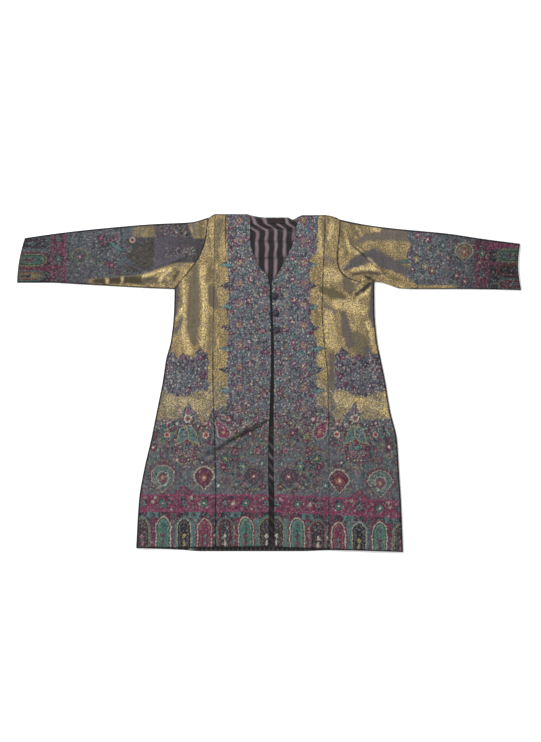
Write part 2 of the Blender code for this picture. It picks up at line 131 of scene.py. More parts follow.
# X and Y along the upper edge of the back, and along its hem
BACK_TOP = (
    (-168.0, 463.5),
    (-151.0, LENGTH / 2),
    (-61.0, LENGTH / 2),
    (-52.0, 470.0),
    (-11.0, 464.0),
    (52.0, 464.0),
    (66.0, 458.0),
    (81.0, 465.0),
    (95.0, 470.5),
    (157.0, 470.5),
    (185.0, 465.0),
    (197.5, 458.0),
)
BACK_HEM = (
    (-372.5, -462.0),
    (-250.0, -466.5),
    (-190.0, -470.5),
    (90.0, -470.5),
    (168.0, -468.0),
    (375.5, -LENGTH / 2),
)

# Y, X of the lining's edge on the wearer's right, X of its edge on the left
LINING_ROWS = (
    (-469.5, -200.0, 100.0),
    (-300.0, -110.0, 90.0),
    (200.0, -70.0, 80.0),
    (300.0, -76.0, 96.0),
    (460.0, -76.0, 104.0),
)
FACING_SEAM = (
    (-76.0, 447.0),
    (-52.0, 442.0),
    (-30.0, 434.5),
    (25.0, 431.0),
    (76.0, 420.0),
    (104.0, 412.0),
)
FACING_TOP_DROP = 2.5

# Folds that the solids have too: X and Y of both ends, half width, lift
FOLDS = (
    (-228.0, 272.0, -240.0, 70.0, 13.0, 2.6),
    (-186.0, 372.0, -196.0, 100.0, 24.0, 1.9),
    (-256.0, 318.0, -238.0, 268.0, 7.0, 3.0),
    (-20.0, -118.0, -198.0, -222.0, 26.0, 1.5),
    (-300.0, -60.0, -330.0, -400.0, 24.0, 1.4),
    (-95.0, 60.0, -86.0, -440.0, 28.0, 1.0),
    (238.0, 246.0, 290.0, 284.0, 8.0, 4.6),
    (206.0, 336.0, 236.0, 262.0, 15.0, 2.6),
    (196.0, 232.0, 292.0, -20.0, 22.0, 2.2),
    (283.0, 262.0, 298.0, 60.0, 11.0, 2.0),
    (250.0, -60.0, 300.0, -420.0, 28.0, 1.5),
    (84.0, 80.0, 92.0, -420.0, 28.0, 1.0),
    (226.0, 390.0, 326.0, 304.0, 8.0, 4.0),
    (208.0, 330.0, 280.0, 372.0, 12.0, 2.4),
    (280.0, 372.0, 372.0, 318.0, 13.0, 2.6),
    (250.0, 412.0, 372.0, 416.0, 10.0, 2.2),
    (330.0, 300.0, 480.0, 282.0, 15.0, 2.2),
    (480.0, 372.0, 640.0, 352.0, 22.0, 1.4),
    (-362.0, 300.0, -262.0, 342.0, 12.0, 2.8),
    (-300.0, 288.0, -236.0, 330.0, 7.0, 3.0),
    (-190.0, 424.0, -218.0, 330.0, 13.0, 2.0),
    (-480.0, 300.0, -380.0, 288.0, 12.0, 1.8),
    (-640.0, 350.0, -470.0, 372.0, 22.0, 1.4),
)

# Creases laid on the fronts and sleeves: X and Y of both ends, half width, height.
# A negative height is a trough.
CREASES = (
    (-240.0, 318.0, -238.0, 110.0, 5.0, 2.6),
    (-212.0, 300.0, -210.0, 140.0, 12.0, -1.2),
    (-182.0, 330.0, -178.0, 112.0, 6.0, 1.6),
    (-262.0, 300.0, -256.0, 140.0, 5.0, 1.5),
    (-252.0, 250.0, -262.0, 200.0, 4.0, -1.6),
    (-246.0, 206.0, -268.0, 176.0, 4.0, 1.8),
    (-248.0, 178.0, -270.0, 140.0, 4.0, -1.5),
    (-162.0, 262.0, -152.0, 214.0, 7.0, -1.4),
    (-150.0, 186.0, -136.0, 96.0, 9.0, -1.0),
    (-176.0, 440.0, -168.0, 360.0, 6.0, 1.6),
    (-188.0, 400.0, -184.0, 330.0, 5.0, -1.1),
    (-204.0, 372.0, -226.0, 322.0, 6.0, 1.4),
    (-8.0, -110.0, -172.0, -202.0, 7.0, -4.0),
    (-8.0, -94.0, -150.0, -178.0, 9.0, 2.6),
    (-60.0, -152.0, -190.0, -232.0, 8.0, 1.3),
    (-258.0, -20.0, -272.0, -110.0, 7.0, 1.4),
    (-232.0, 60.0, -246.0, -60.0, 8.0, -1.2),
    (-206.0, -30.0, -210.0, -110.0, 6.0, 1.2),
    (-338.0, -240.0, -352.0, -430.0, 9.0, 1.6),
    (-196.0, -300.0, -206.0, -450.0, 9.0, -1.2),
    (-108.0, -250.0, -112.0, -450.0, 8.0, 1.4),
    (-124.0, -290.0, -128.0, -455.0, 5.0, -1.4),
    (-70.0, 230.0, -64.0, 90.0, 12.0, 1.0),
    (-40.0, 40.0, -48.0, -80.0, 13.0, -0.9),
    (-108.0, 20.0, -118.0, -100.0, 10.0, 0.9),
    (-60.0, -220.0, -40.0, -330.0, 10.0, 0.8),
    (70.0, 250.0, 82.0, 120.0, 12.0, -0.9),
    (44.0, 70.0, 50.0, -80.0, 12.0, 1.0),
    (120.0, -20.0, 112.0, -150.0, 9.0, -0.9),
    (60.0, -180.0, 76.0, -320.0, 11.0, 1.0),
    (140.0, -260.0, 146.0, -440.0, 7.0, 1.3),
    (36.0, -300.0, 30.0, -440.0, 7.0, -0.9),
    (106.0, 452.0, 104.0, 370.0, 6.0, -1.3),
    (130.0, 455.0, 124.0, 378.0, 5.0, 1.6),
    (152.0, 452.0, 146.0, 372.0, 5.0, -1.4),
    (176.0, 450.0, 166.0, 360.0, 5.0, 1.8),
    (100.0, 330.0, 126.0, 296.0, 7.0, 1.0),
    (166.0, 330.0, 206.0, 270.0, 8.0, 1.9),
    (150.0, 276.0, 214.0, 232.0, 7.0, -1.8),
    (158.0, 292.0, 222.0, 252.0, 6.0, 1.3),
    (214.0, 246.0, 270.0, 208.0, 6.0, 1.8),
    (236.0, 240.0, 284.0, 286.0, 4.0, -3.0),
    (226.0, 252.0, 276.0, 296.0, 5.0, 3.2),
    (250.0, 232.0, 294.0, 272.0, 5.0, 2.6),
    (208.0, 204.0, 222.0, 70.0, 8.0, -1.9),
    (236.0, 190.0, 252.0, 60.0, 7.0, 1.4),
    (272.0, 190.0, 288.0, 90.0, 4.0, 1.8),
    (262.0, 110.0, 296.0, 20.0, 6.0, -1.3),
    (174.0, 110.0, 176.0, -150.0, 6.0, -1.8),
    (192.0, 60.0, 198.0, -110.0, 7.0, 1.4),
    (268.0, 96.0, 276.0, -96.0, 6.0, -1.8),
    (296.0, 90.0, 306.0, -110.0, 6.0, 2.0),
    (252.0, 20.0, 256.0, -100.0, 6.0, 1.2),
    (318.0, -30.0, 336.0, -200.0, 7.0, -1.3),
    (346.0, -180.0, 360.0, -360.0, 7.0, 1.5),
    (210.0, -220.0, 222.0, -420.0, 10.0, 1.0),
    (306.0, -300.0, 312.0, -450.0, 9.0, -1.1),
    (-330.0, 306.0, -250.0, 336.0, 5.0, -2.0),
    (-352.0, 292.0, -262.0, 326.0, 6.0, 2.4),
    (-306.0, 282.0, -262.0, 300.0, 4.0, 2.0),
    (-286.0, 330.0, -238.0, 352.0, 5.0, 1.6),
    (-272.0, 346.0, -226.0, 392.0, 7.0, -1.2),
    (-344.0, 420.0, -262.0, 398.0, 9.0, 1.1),
    (-404.0, 402.0, -330.0, 352.0, 10.0, -1.3),
    (-420.0, 372.0, -352.0, 318.0, 8.0, 1.2),
    (-503.0, 312.0, -498.0, 282.0, 4.0, 1.5),
    (-458.0, 316.0, -452.0, 282.0, 4.0, 1.7),
    (-408.0, 312.0, -412.0, 278.0, 4.0, 1.5),
    (-560.0, 410.0, -500.0, 330.0, 12.0, 0.9),
    (-650.0, 396.0, -600.0, 318.0, 12.0, -0.8),
    (-472.0, 424.0, -440.0, 376.0, 9.0, 0.9),
    (236.0, 383.0, 325.0, 307.0, 3.0, -2.0),
    (216.0, 318.0, 290.0, 370.0, 8.0, 1.0),
    (240.0, 314.0, 310.0, 316.0, 4.0, 2.2),
    (300.0, 300.0, 372.0, 292.0, 5.0, -1.2),
    (288.0, 372.0, 380.0, 326.0, 9.0, 1.0),
    (268.0, 426.0, 372.0, 424.0, 7.0, 0.9),
    (400.0, 300.0, 500.0, 274.0, 8.0, 1.3),
    (430.0, 410.0, 470.0, 330.0, 12.0, 0.9),
    (520.0, 400.0, 556.0, 300.0, 12.0, -0.8),
    (606.0, 392.0, 640.0, 282.0, 10.0, 0.8),
    (212.0, 440.0, 226.0, 372.0, 6.0, 1.3),
    (238.0, 436.0, 262.0, 396.0, 6.0, -0.9),
)

# Creases in the lining where it shows in the neck, and a few down its middle
LINING_CREASES = (
    (-56.0, 399.0, 76.0, 396.0, 3.0, 0.5),
    (-46.0, 350.0, 52.0, 352.0, 3.0, 0.4),
    (-30.0, 431.0, 60.0, 404.0, 6.0, 0.4),
    (12.0, 344.0, 2.0, 300.0, 5.0, 0.4),
    (-60.0, 300.0, 60.0, 180.0, 8.0, 0.3),
    (40.0, 60.0, -60.0, -120.0, 8.0, 0.3),
)

# Painted highlights and painted shade on the body's metal cloth, where it shows bright or grey: tint,
# strength, share of metal left, then X, Y and half width at each point of a line
BODY_LIGHT_AND_SHADE = (
    ("shade", 0.9, 0.2, (
        (-206.0, 322.0, 7.0), (-210.0, 270.0, 16.0), (-214.0, 160.0, 19.0), (-210.0, 112.0, 8.0),
    )),
    ("shade", 0.95, 0.1, ((-160.0, 264.0, 12.0), (-156.0, 226.0, 15.0), (-150.0, 210.0, 6.0))),
    ("shade", 0.6, 0.3, ((-158.0, 184.0, 9.0), (-160.0, 110.0, 12.0), (-166.0, 84.0, 8.0))),
    ("bright", 0.7, 1.0, (
        (-240.0, 314.0, 4.0), (-236.0, 240.0, 5.0), (-238.0, 130.0, 7.0), (-222.0, 90.0, 9.0),
    )),
    ("bright", 0.6, 1.0, (
        (-184.0, 320.0, 9.0), (-180.0, 240.0, 8.0), (-182.0, 150.0, 7.0), (-186.0, 110.0, 6.0),
    )),
    ("warp_and_shade_grey", 0.9, 0.1, ((-256.0, 302.0, 6.0), (-258.0, 240.0, 7.0), (-262.0, 186.0, 6.0))),
    ("warp_and_shade_grey", 0.9, 0.1, ((-242.0, 182.0, 4.0), (-262.0, 140.0, 6.0))),
    ("bright", 0.7, 1.0, ((-244.0, 206.0, 3.0), (-264.0, 172.0, 3.0))),
    ("olive", 0.6, 0.4, ((-150.0, 350.0, 9.0), (-172.0, 290.0, 9.0))),
    ("bright", 0.3, 1.0, ((-160.0, 450.0, 4.0), (-158.0, 380.0, 4.0), (-150.0, 330.0, 9.0))),
    ("olive", 0.5, 0.5, ((-136.0, 452.0, 8.0), (-148.0, 400.0, 8.0), (-146.0, 340.0, 8.0))),
    ("steel", 0.6, 0.4, ((-142.0, 452.0, 4.0), (-140.0, 380.0, 5.0))),
    ("steel", 0.7, 0.3, ((-176.0, 448.0, 4.0), (-186.0, 380.0, 4.0))),
    ("olive", 0.95, 0.1, ((150.0, 262.0, 10.0), (178.0, 250.0, 14.0), (204.0, 240.0, 11.0))),
    ("shade", 0.95, 0.1, ((214.0, 298.0, 7.0), (223.0, 270.0, 17.0), (236.0, 250.0, 9.0))),
    ("bright", 0.8, 1.0, ((236.0, 246.0, 4.0), (262.0, 270.0, 4.0), (274.0, 282.0, 3.0))),
    ("dark", 0.9, 0.0, ((244.0, 247.0, 5.0), (264.0, 262.0, 8.0), (284.0, 278.0, 8.0))),
    ("bright", 0.8, 1.0, ((248.0, 238.0, 5.0), (272.0, 252.0, 5.0), (286.0, 268.0, 4.0))),
    ("warp_and_shade_grey", 0.95, 0.0, (
        (290.0, 276.0, 5.0), (288.0, 228.0, 8.0), (288.0, 190.0, 10.0), (292.0, 160.0, 4.0),
    )),
    ("bright", 0.6, 1.0, ((168.0, 306.0, 18.0), (190.0, 296.0, 14.0))),
    ("bright", 0.6, 1.0, ((190.0, 222.0, 14.0), (240.0, 214.0, 16.0), (262.0, 204.0, 12.0))),
    ("steel", 0.85, 0.2, ((148.0, 222.0, 5.0), (166.0, 212.0, 8.0), (184.0, 196.0, 5.0))),
    ("warp_and_shade_grey", 0.85, 0.1, ((208.0, 192.0, 8.0), (216.0, 150.0, 14.0), (226.0, 110.0, 12.0))),
    ("shade", 0.85, 0.3, ((240.0, 132.0, 14.0), (258.0, 112.0, 22.0), (260.0, 86.0, 18.0))),
    ("bright", 0.8, 1.0, ((272.0, 170.0, 4.0), (284.0, 140.0, 4.0), (288.0, 110.0, 3.0))),
    ("bright", 0.5, 1.0, ((166.0, 190.0, 14.0), (176.0, 110.0, 16.0))),
    ("olive", 0.5, 0.5, ((118.0, 240.0, 7.0), (134.0, 200.0, 7.0), (136.0, 120.0, 6.0))),
    ("steel", 0.7, 0.3, ((112.0, 452.0, 5.0), (110.0, 400.0, 7.0), (118.0, 372.0, 7.0))),
    ("bright", 0.7, 1.0, ((134.0, 458.0, 3.0), (144.0, 400.0, 5.0), (140.0, 372.0, 4.0))),
    ("shade", 0.8, 0.3, ((152.0, 456.0, 3.0), (158.0, 420.0, 4.0), (150.0, 384.0, 3.0))),
    ("bright", 0.6, 1.0, ((174.0, 452.0, 4.0), (168.0, 400.0, 4.0))),
    ("steel", 0.6, 0.4, ((156.0, 350.0, 8.0), (184.0, 340.0, 8.0))),
    ("warp_and_shade_grey", 0.85, 0.1, ((176.0, 74.0, 8.0), (176.0, -20.0, 9.0), (176.0, -110.0, 6.0))),
    ("warp_and_shade_grey", 0.9, 0.1, ((276.0, 92.0, 9.0), (280.0, 40.0, 10.0), (282.0, 0.0, 6.0))),
    ("steel", 0.5, 0.5, ((284.0, -30.0, 8.0), (288.0, -104.0, 8.0))),
    ("bright", 0.8, 1.0, ((318.0, 30.0, 4.0), (326.0, -40.0, 5.0), (332.0, -100.0, 5.0))),
    ("bright", 0.6, 1.0, ((196.0, -40.0, 18.0), (250.0, -60.0, 20.0))),
    ("bright", 0.5, 1.0, ((268.0, -50.0, 12.0), (316.0, -70.0, 16.0))),
    ("bright", 0.5, 1.0, ((-280.0, -50.0, 14.0), (-196.0, -60.0, 14.0))),
    ("steel", 0.5, 0.4, ((-252.0, -36.0, 8.0), (-262.0, -92.0, 8.0))),
)

# Colours of the threads, as they look in the photograph
PALETTE = {
    "slate": (108, 112, 120),
    "mauve": (104, 94, 106),
    "navy": (30, 30, 38),
    "teal": (92, 134, 132),
    "green": (74, 118, 106),
    "crimson": (124, 44, 74),
    "magenta": (140, 56, 94),
    "pink": (180, 130, 140),
    "cream": (216, 208, 184),
    "mustard": (176, 162, 110),
    "rust": (158, 92, 76),
    "plum": (62, 48, 58),
    "gold": (152, 135, 101),
    # bright is a painted highlight colour and the four after it are painted shade colours of the metal cloth;
    # olive and the last of them also tint parts of the sleeve on the viewer's left
    "bright": (212, 193, 144),
    "shade": (106, 97, 82),
    "olive": (100, 90, 66),
    "steel": (108, 100, 94),
    "warp_and_shade_grey": (92, 87, 90),
    "pale": (176, 180, 180),
    # dark is also laid as painted shade in folds and along edges, besides dark threads and seams
    "dark": (22, 21, 26),
    "violet": (98, 76, 108),
}
STUDIO_GAIN = 0.74        # the studio light is this much weaker than white would show it


def linear(colour):
    """Scene colour of an 8-bit display colour."""
    share = np.asarray(colour, dtype=float) / 255.0
    return np.where(share <= 0.04045, share / 12.92, ((share + 0.055) / 1.055) ** 2.4)


TINT = {name: linear(colour) * STUDIO_GAIN for name, colour in PALETTE.items()}


# Curves and seams


def mix(start, end, share):
    return start + (end - start) * share


def smooth(share):
    """Ease from 0 to 1, level at both ends."""
    share = np.clip(share, 0.0, 1.0)
    return share * share * (3.0 - 2.0 * share)


def through(rows, column, at):
    """Smooth curve through one column of a table whose first column rises."""
    table = np.array(rows)
    steps, values = table[:, 0], table[:, column]
    steepness = np.diff(values) / np.diff(steps)
    before, after = steepness[:-1], steepness[1:]
    total = np.where(before * after > 0, before + after, 1.0)
    inner = np.where(before * after > 0, 2 * before * after / total, 0.0)
    slope = np.concatenate((steepness[:1], inner, steepness[-1:]))
    at = np.clip(at, steps[0], steps[-1])
    here = np.clip(np.searchsorted(steps, at, side="right") - 1, 0, len(steps) - 2)
    width = steps[here + 1] - steps[here]
    share = (at - steps[here]) / width
    square, cube = share**2, share**3
    return (
        (2 * cube - 3 * square + 1) * values[here]
        + (cube - 2 * square + share) * width * slope[here]
        + (3 * square - 2 * cube) * values[here + 1]
        + (cube - square) * width * slope[here + 1]
    )


def armhole(side, share):
    """Points of an armhole's curve, from the shoulder down to the underarm."""
    top_x, top_y, low_x, low_y, bow_x, bow_y, lean, fullness = ARMHOLES[side]
    bow = np.maximum(np.sin(np.pi * share**lean), 0.0) ** fullness
    x = mix(top_x, low_x, share) + bow_x * bow
    return np.stack((x, mix(top_y, low_y, share) + bow_y * bow), axis=-1)


def seam(which, height):
    """Points of a long seam: height 0 is the hem, 1 the underarm and 2 the shoulder."""
    hem, underarm, shoulder = SEAM_LEVELS[which]
    y = np.where(height <= 1.0, mix(hem, underarm, height), mix(underarm, shoulder, height - 1.0))
    points = np.stack((through(SEAM_ROWS, 1 + which, y), y), axis=-1)
    if which in ARMHOLES:
        above = armhole(which, np.clip(2.0 - height, 0.0, 1.0))
        points = np.where((height > 1.0)[..., None], above, points)
    return points


def beside_seam(which, height, offset):
    """Points beside a seam, offset to the viewer's right of it when positive."""
    step = 0.01
    along = seam(which, np.minimum(height + step, 2.0)) - seam(which, np.maximum(height - step, 0.0))
    along /= np.linalg.norm(along, axis=-1, keepdims=True)
    return seam(which, height) + np.stack((along[..., 1], -along[..., 0]), axis=-1) * offset


def ridges(rows, x, y, wander=2.2, hollow=0.3):
    """Height of long uneven ridges and troughs, each with a slight hollow beside it."""
    total = np.zeros(x.shape)
    for index, (start_x, start_y, end_x, end_y, half_width, height) in enumerate(rows):
        along_x, along_y = end_x - start_x, end_y - start_y
        length = math.hypot(along_x, along_y)
        share = ((x - start_x) * along_x + (y - start_y) * along_y) / length**2
        side = ((x - start_x) * along_y - (y - start_y) * along_x) / length
        near = (share > -0.2) & (share < 1.2) & (np.abs(side) < 5 * half_width)
        share, side = share[near], side[near]
        side = side + wander * np.sin(share * length / 31.0 + index * 1.7)
        swell = 0.8 + 0.2 * np.sin(share * length / 23.0 + index * 2.3)
        taper = smooth((share + 0.2) / 0.4) * smooth((1.2 - share) / 0.4) * swell
        profile = np.exp(-((side / half_width) ** 2))
        profile -= hollow * np.exp(-(((side - 1.7 * half_width) / (1.2 * half_width)) ** 2))
        total[near] += height * taper * profile
    return total


def along_line(x, y, points):
    """Distance past a band whose points are X, Y and half width."""
    nearest = np.full(np.shape(x), np.inf)
    for (start_x, start_y, start_half), (end_x, end_y, end_half) in zip(points[:-1], points[1:]):
        along_x, along_y = end_x - start_x, end_y - start_y
        share = ((x - start_x) * along_x + (y - start_y) * along_y) / (along_x**2 + along_y**2)
        share = np.clip(share, 0.0, 1.0)
        away = np.hypot(x - start_x - share * along_x, y - start_y - share * along_y)
        nearest = np.minimum(nearest, away - mix(start_half, end_half, share))
    return nearest


def fold_lift(x, y):
    return ridges(FOLDS, x, y, wander=0.0, hollow=0.0)


def lifted(raw):
    return LIFT_LIMIT * (1.0 - np.exp(-raw / LIFT_LIMIT))


def wall_at(lift):
    return WALL + FOLD_WALL * lift


def ripple(x, y, wavelength, seed):
    """Smooth uneven waves between about -1 and 1, the same on every run."""
    turns = np.random.default_rng(seed).uniform(0.0, math.tau, (5, 2))
    total = np.zeros(np.shape(x))
    for index, (heading, phase) in enumerate(turns):
        stretch = wavelength * (0.6 + 0.2 * index)
        total += np.sin((x * math.cos(heading) + y * math.sin(heading)) * math.tau / stretch + phase)
    return total / 3.2


def lining_cover(x, y):
    """1 over the lining, falling to 0 a little way past its edges."""
    past = np.maximum(through(LINING_ROWS, 1, y) - x, x - through(LINING_ROWS, 2, y))
    cover = 1.0 - smooth((past - LINING_MARGIN) / SEAM_REACH)
    return np.where(y > LINING_ROWS[-1][0] + SEAM_REACH, 1.0, cover)


def front_top(x, y, from_seam):
    """Height of the outer face of a front panel."""
    pull = 1.0 - np.exp(-((from_seam / SEAM_REACH) ** 2))
    lift = lifted(PANEL_LOFT * pull + fold_lift(x, y) * mix(FOLD_AT_SEAM, 1.0, pull))
    rest = WALL + GAP + (LINING_WALL + GAP) * lining_cover(x, y)
    crease = ridges(CREASES, x, y) * mix(0.35, 1.0, pull) + 0.3 * ripple(x, y, 70.0, 4) * pull
    return rest + lift + wall_at(lift) + crease


# The weaver's pattern


def inside(distance, softness=1.5):
    """1 within a shape and 0 outside it, from the distance past its edge."""
    return np.clip(0.5 - distance / softness, 0.0, 1.0)


def chance(column, row, seed, count):
    """Random numbers that belong to each square of a grid."""
    return [
        np.modf(np.abs(np.sin(column * 12.9898 + row * 78.233 + seed * 37.719 + index * 4.581)) * 43758.5)[0]
        for index in range(count)
    ]


def strewn(x, y, pitch, seed, jitter=0.36):
    """Nearest of the points strewn one to a square: distance, bearing and random numbers."""
    nearest = np.full(x.shape, np.inf)
    bearing = np.zeros(x.shape)
    draws = np.zeros((4,) + x.shape)
    for step_x in (-1, 0, 1):
        for step_y in (-1, 0, 1):
            column, row = np.floor(x / pitch) + step_x, np.floor(y / pitch) + step_y
            shift_x, shift_y, *rest = chance(column, row, seed, 6)
            off_x = x - (column + 0.5 + jitter * (2 * shift_x - 1)) * pitch
            off_y = y - (row + 0.5 + jitter * (2 * shift_y - 1)) * pitch
            away = np.hypot(off_x, off_y)
            closer = away < nearest
            nearest = np.where(closer, away, nearest)
            bearing = np.where(closer, np.arctan2(off_y, off_x), bearing)
            draws = np.where(closer, np.array(rest), draws)
    return nearest, bearing, draws


class Weave:
    """Tint and share of metal thread at each point of a cloth."""

    def __init__(self, x, y):
        self.x, self.y = x, y
        self.u = np.abs(x - CENTRE_X)
        self.tint = np.tile(TINT["slate"], (x.size, 1))
        self.metal = np.zeros(x.size)

    def lay(self, cover, tint, metal=0.0):
        """Cover the cloth with a tint, by a share from 0 to 1."""
        cover = np.clip(cover, 0.0, 1.0)
        colour = TINT[tint] if isinstance(tint, str) else tint
        self.tint += (colour - self.tint) * cover[:, None]
        self.metal += (metal - self.metal) * cover

    def shade(self, factor):
        """Darken the cloth by a factor."""
        self.tint *= factor[:, None]


def flowers(weave, where, x, y, pitch, size, tints, seed, petals=5, outline="navy", heart="cream"):
    """Small blossoms of separate petals, strewn over the cloth where the mask allows."""
    away, bearing, draws = strewn(x, y, pitch, seed)
    lobes = np.cos(petals * bearing + draws[2] * math.tau)
    radius = size * (0.6 + 0.75 * draws[1])
    pick = np.array([TINT[name] for name in tints])[(draws[0] * len(tints)).astype(int)]
    weave.lay(where * 0.75 * inside(away - radius * (1.25 + 0.15 * lobes)), outline)
    weave.lay(where * inside(away - radius) * np.clip(0.7 + 0.9 * lobes, 0.15, 1.0), pick)
    weave.lay(where * inside(away - radius * 0.3) * (draws[3] > 0.5), heart)


def sprigs(weave, where, x, y, pitch, size, tints, seed):
    """Pairs of small leaves at random headings."""
    away, bearing, draws = strewn(x, y, pitch, seed)
    heading = np.cos(bearing + draws[2] * math.tau)
    radius = size * (0.7 + 0.6 * draws[1]) * np.clip(1.6 * np.abs(heading) - 0.6, 0.0, 1.0)
    pick = np.array([TINT[name] for name in tints])[(draws[0] * len(tints)).astype(int)]
    weave.lay(where * 0.8 * inside(away - radius - 1.0), "navy")
    weave.lay(where * inside(away - radius), pick)


def specks(weave, where, x, y, pitch, size, tints, seed, strength):
    """Single threads of other colours that float over the pattern."""
    away, _, draws = strewn(x, y, pitch, seed, 0.45)
    pick = np.array([TINT[name] for name in tints])[(draws[0] * len(tints)).astype(int)]
    weave.lay(where * strength * (0.4 + 0.6 * draws[1]) * inside(away - size * (0.6 + draws[2])), pick)


def vines(weave, where, x, y, scale, thickness, tint):
    """Winding stems that follow the level lines of smooth waves."""
    bent_x, bent_y = x + 3.0 * ripple(x, y, 19.0, 51), y + 3.0 * ripple(x, y, 23.0, 52)
    field = np.sin(bent_x / scale + 1.4 * np.sin(bent_y / (1.7 * scale)))
    field = field + np.sin(bent_y / (1.2 * scale) + 1.6 * np.sin(bent_x / (1.5 * scale)))
    weave.lay(where * inside(np.abs(field) * scale * 0.6 - thickness, 1.0), tint)


def leaf_past(x, y, start, end, half_width, bend):
    """Distance past the edge of a pointed leaf from its root to its tip."""
    along_x, along_y = end[0] - start[0], end[1] - start[1]
    length = math.hypot(along_x, along_y)
    share = ((x - start[0]) * along_x + (y - start[1]) * along_y) / length**2
    side = ((x - start[0]) * along_y - (y - start[1]) * along_x) / length
    side = side - bend * np.sin(np.pi * np.clip(share, 0.0, 1.0))
    breadth = half_width * np.sin(np.pi * np.clip(share, 0.0, 1.0) ** 0.75)
    return np.maximum(np.abs(side) - breadth, np.maximum(-share, share - 1.0) * length)


def leaf_mask(x, y, start, end, half_width, bend):
    """1 within a pointed leaf."""
    return inside(leaf_past(x, y, start, end, half_width, bend))


def leaf(weave, where, x, y, start, end, half_width, tint, outline=None, bend=0.0):
    """Pointed leaf from its root to its tip."""
    past = leaf_past(x, y, start, end, half_width, bend)
    if outline:
        weave.lay(where * inside(past - 2.0), outline)
    weave.lay(where * inside(past), tint)


def rosette(weave, where, x, y, centre, radius, rings, petals=8, depth=0.06):
    """Round flower of rings, from the widest in."""
    away = np.hypot(x - centre[0], y - centre[1])
    bearing = np.arctan2(y - centre[1], x - centre[0])
    for index, (share, tint) in enumerate(rings):
        lobes = 1.0 + depth * np.cos(petals * bearing + index * math.pi)
        weave.lay(where * inside(away - radius * share * lobes), tint)


def arch(across, up, half_width, spring, apex):
    """Distance past the edge of a pointed arch that stands on the line up = 0."""
    rise = apex - spring
    radius = (half_width**2 + rise**2) / (2 * half_width)
    curve = np.hypot(np.abs(across) + radius - half_width, np.maximum(up - spring, 0.0)) - radius
    return np.maximum(curve, -up)


# Arches of the border: place along it, half width, apex, field, rim, bloom in the field
HEM_ARCHES = (
    (14.0, 18.0, 88.0, "plum", "mustard", "cream"),
    (72.0, 19.0, 90.0, "green", "cream", "crimson"),
    (130.0, 18.0, 86.0, "plum", "rust", "cream"),
    (187.0, 18.0, 84.0, "crimson", "cream", "teal"),
    (245.0, 18.0, 86.0, "navy", "cream", "mustard"),
    (303.0, 19.0, 90.0, "green", "cream", "crimson"),
    (362.0, 18.0, 86.0, "plum", "mustard", "pink"),
)
PILLARS = ("teal", "crimson", "plum", "teal", "mauve", "crimson")
ARCH_PITCH = 57.8


def arcade(weave, where, across, up, rows, seed):
    """Row of arches on a ground, each with a rim and a bloom, and pillars between them."""
    for index, (centre, half_width, apex, field, rim, tint) in enumerate(rows):
        off = across - centre
        near = where * (np.abs(off) < half_width * 2.2)
        spring = apex - half_width * 1.5
        past = arch(off, up, half_width, spring, apex)
        weave.lay(near * inside(past - 6.5), "crimson" if index % 2 else "teal")
        weave.lay(near * inside(past - 4.0), "navy")
        weave.lay(near * inside(past - 2.6) * (0.75 + 0.25 * np.cos(up / 1.6)), rim)
        weave.lay(near * inside(past), field)
        weave.lay(near * 0.8 * inside(np.abs(past + 2.2) - 1.2), "navy")
        dotted(weave, near * 0.35, past + 6.0, 0.8, rim, up)
        speck = near * inside(past + 7.0)
        small = ("navy", "plum", tint, "mauve", field)
        flowers(weave, speck * 0.55, off + 500, up, 9.0, 2.4, small, seed + index)
        diamond = np.abs(off) * 1.2 + np.abs(up - apex * 0.42) * 0.8
        weave.lay(near * inside(diamond - 8.0), "navy")
        weave.lay(near * inside(diamond - 6.2), tint)
        weave.lay(near * inside(diamond - 2.4), "plum")
        leaf(weave, 0.7 * near, off, up, (0.0, apex * 0.1), (0.0, apex * 0.34), 3.0, tint, "plum")
        rosette(weave, near, off, up, (0.0, apex * 0.76), 4.6, ((1.0, "navy"), (0.6, "slate")), 4)


def border_band(weave, where, across, up, width, rosette_pitch, first, seed):
    """Crimson band with green rosettes and pale sprays between them."""
    weave.lay(where, mix(TINT["crimson"], TINT["magenta"], 0.4))
    sprays = ("pink", "mauve", "plum", "pink", "mauve", "magenta", "slate")
    flowers(weave, where * 0.9, across, up, 9.5, 3.0, sprays, seed, heart="plum")
    larger = ("plum", "pink", "mauve", "cream")
    flowers(weave, where * 0.9, across, up, 17.0, 4.2, larger, seed + 5, 6, heart="magenta")
    nearest = np.round((across - first) / rosette_pitch)
    off = across - first - nearest * rosette_pitch
    even = (np.mod(nearest, 2) == 0).astype(float)
    centre = (0.0, width / 2)
    even_rings = ((1.0, "navy"), (0.85, "green"), (0.5, "plum"), (0.25, "cream"))
    rosette(weave, where * even, off, up, centre, 11.5, even_rings)
    odd_rings = ((1.0, "navy"), (0.8, "teal"), (0.45, "crimson"))
    rosette(weave, where * (1 - even), off, up, centre, 9.0, odd_rings, 6)
    for edge in (3.0, width - 3.0):
        weave.lay(where * 0.9 * inside(np.abs(up - edge) - 2.2), "magenta")


def dotted(weave, where, past, half, tint, along):
    """Row of dots that follows an outline."""
    weave.lay(where * (0.6 + 0.4 * np.cos(along)) * inside(np.abs(past) - half), tint)


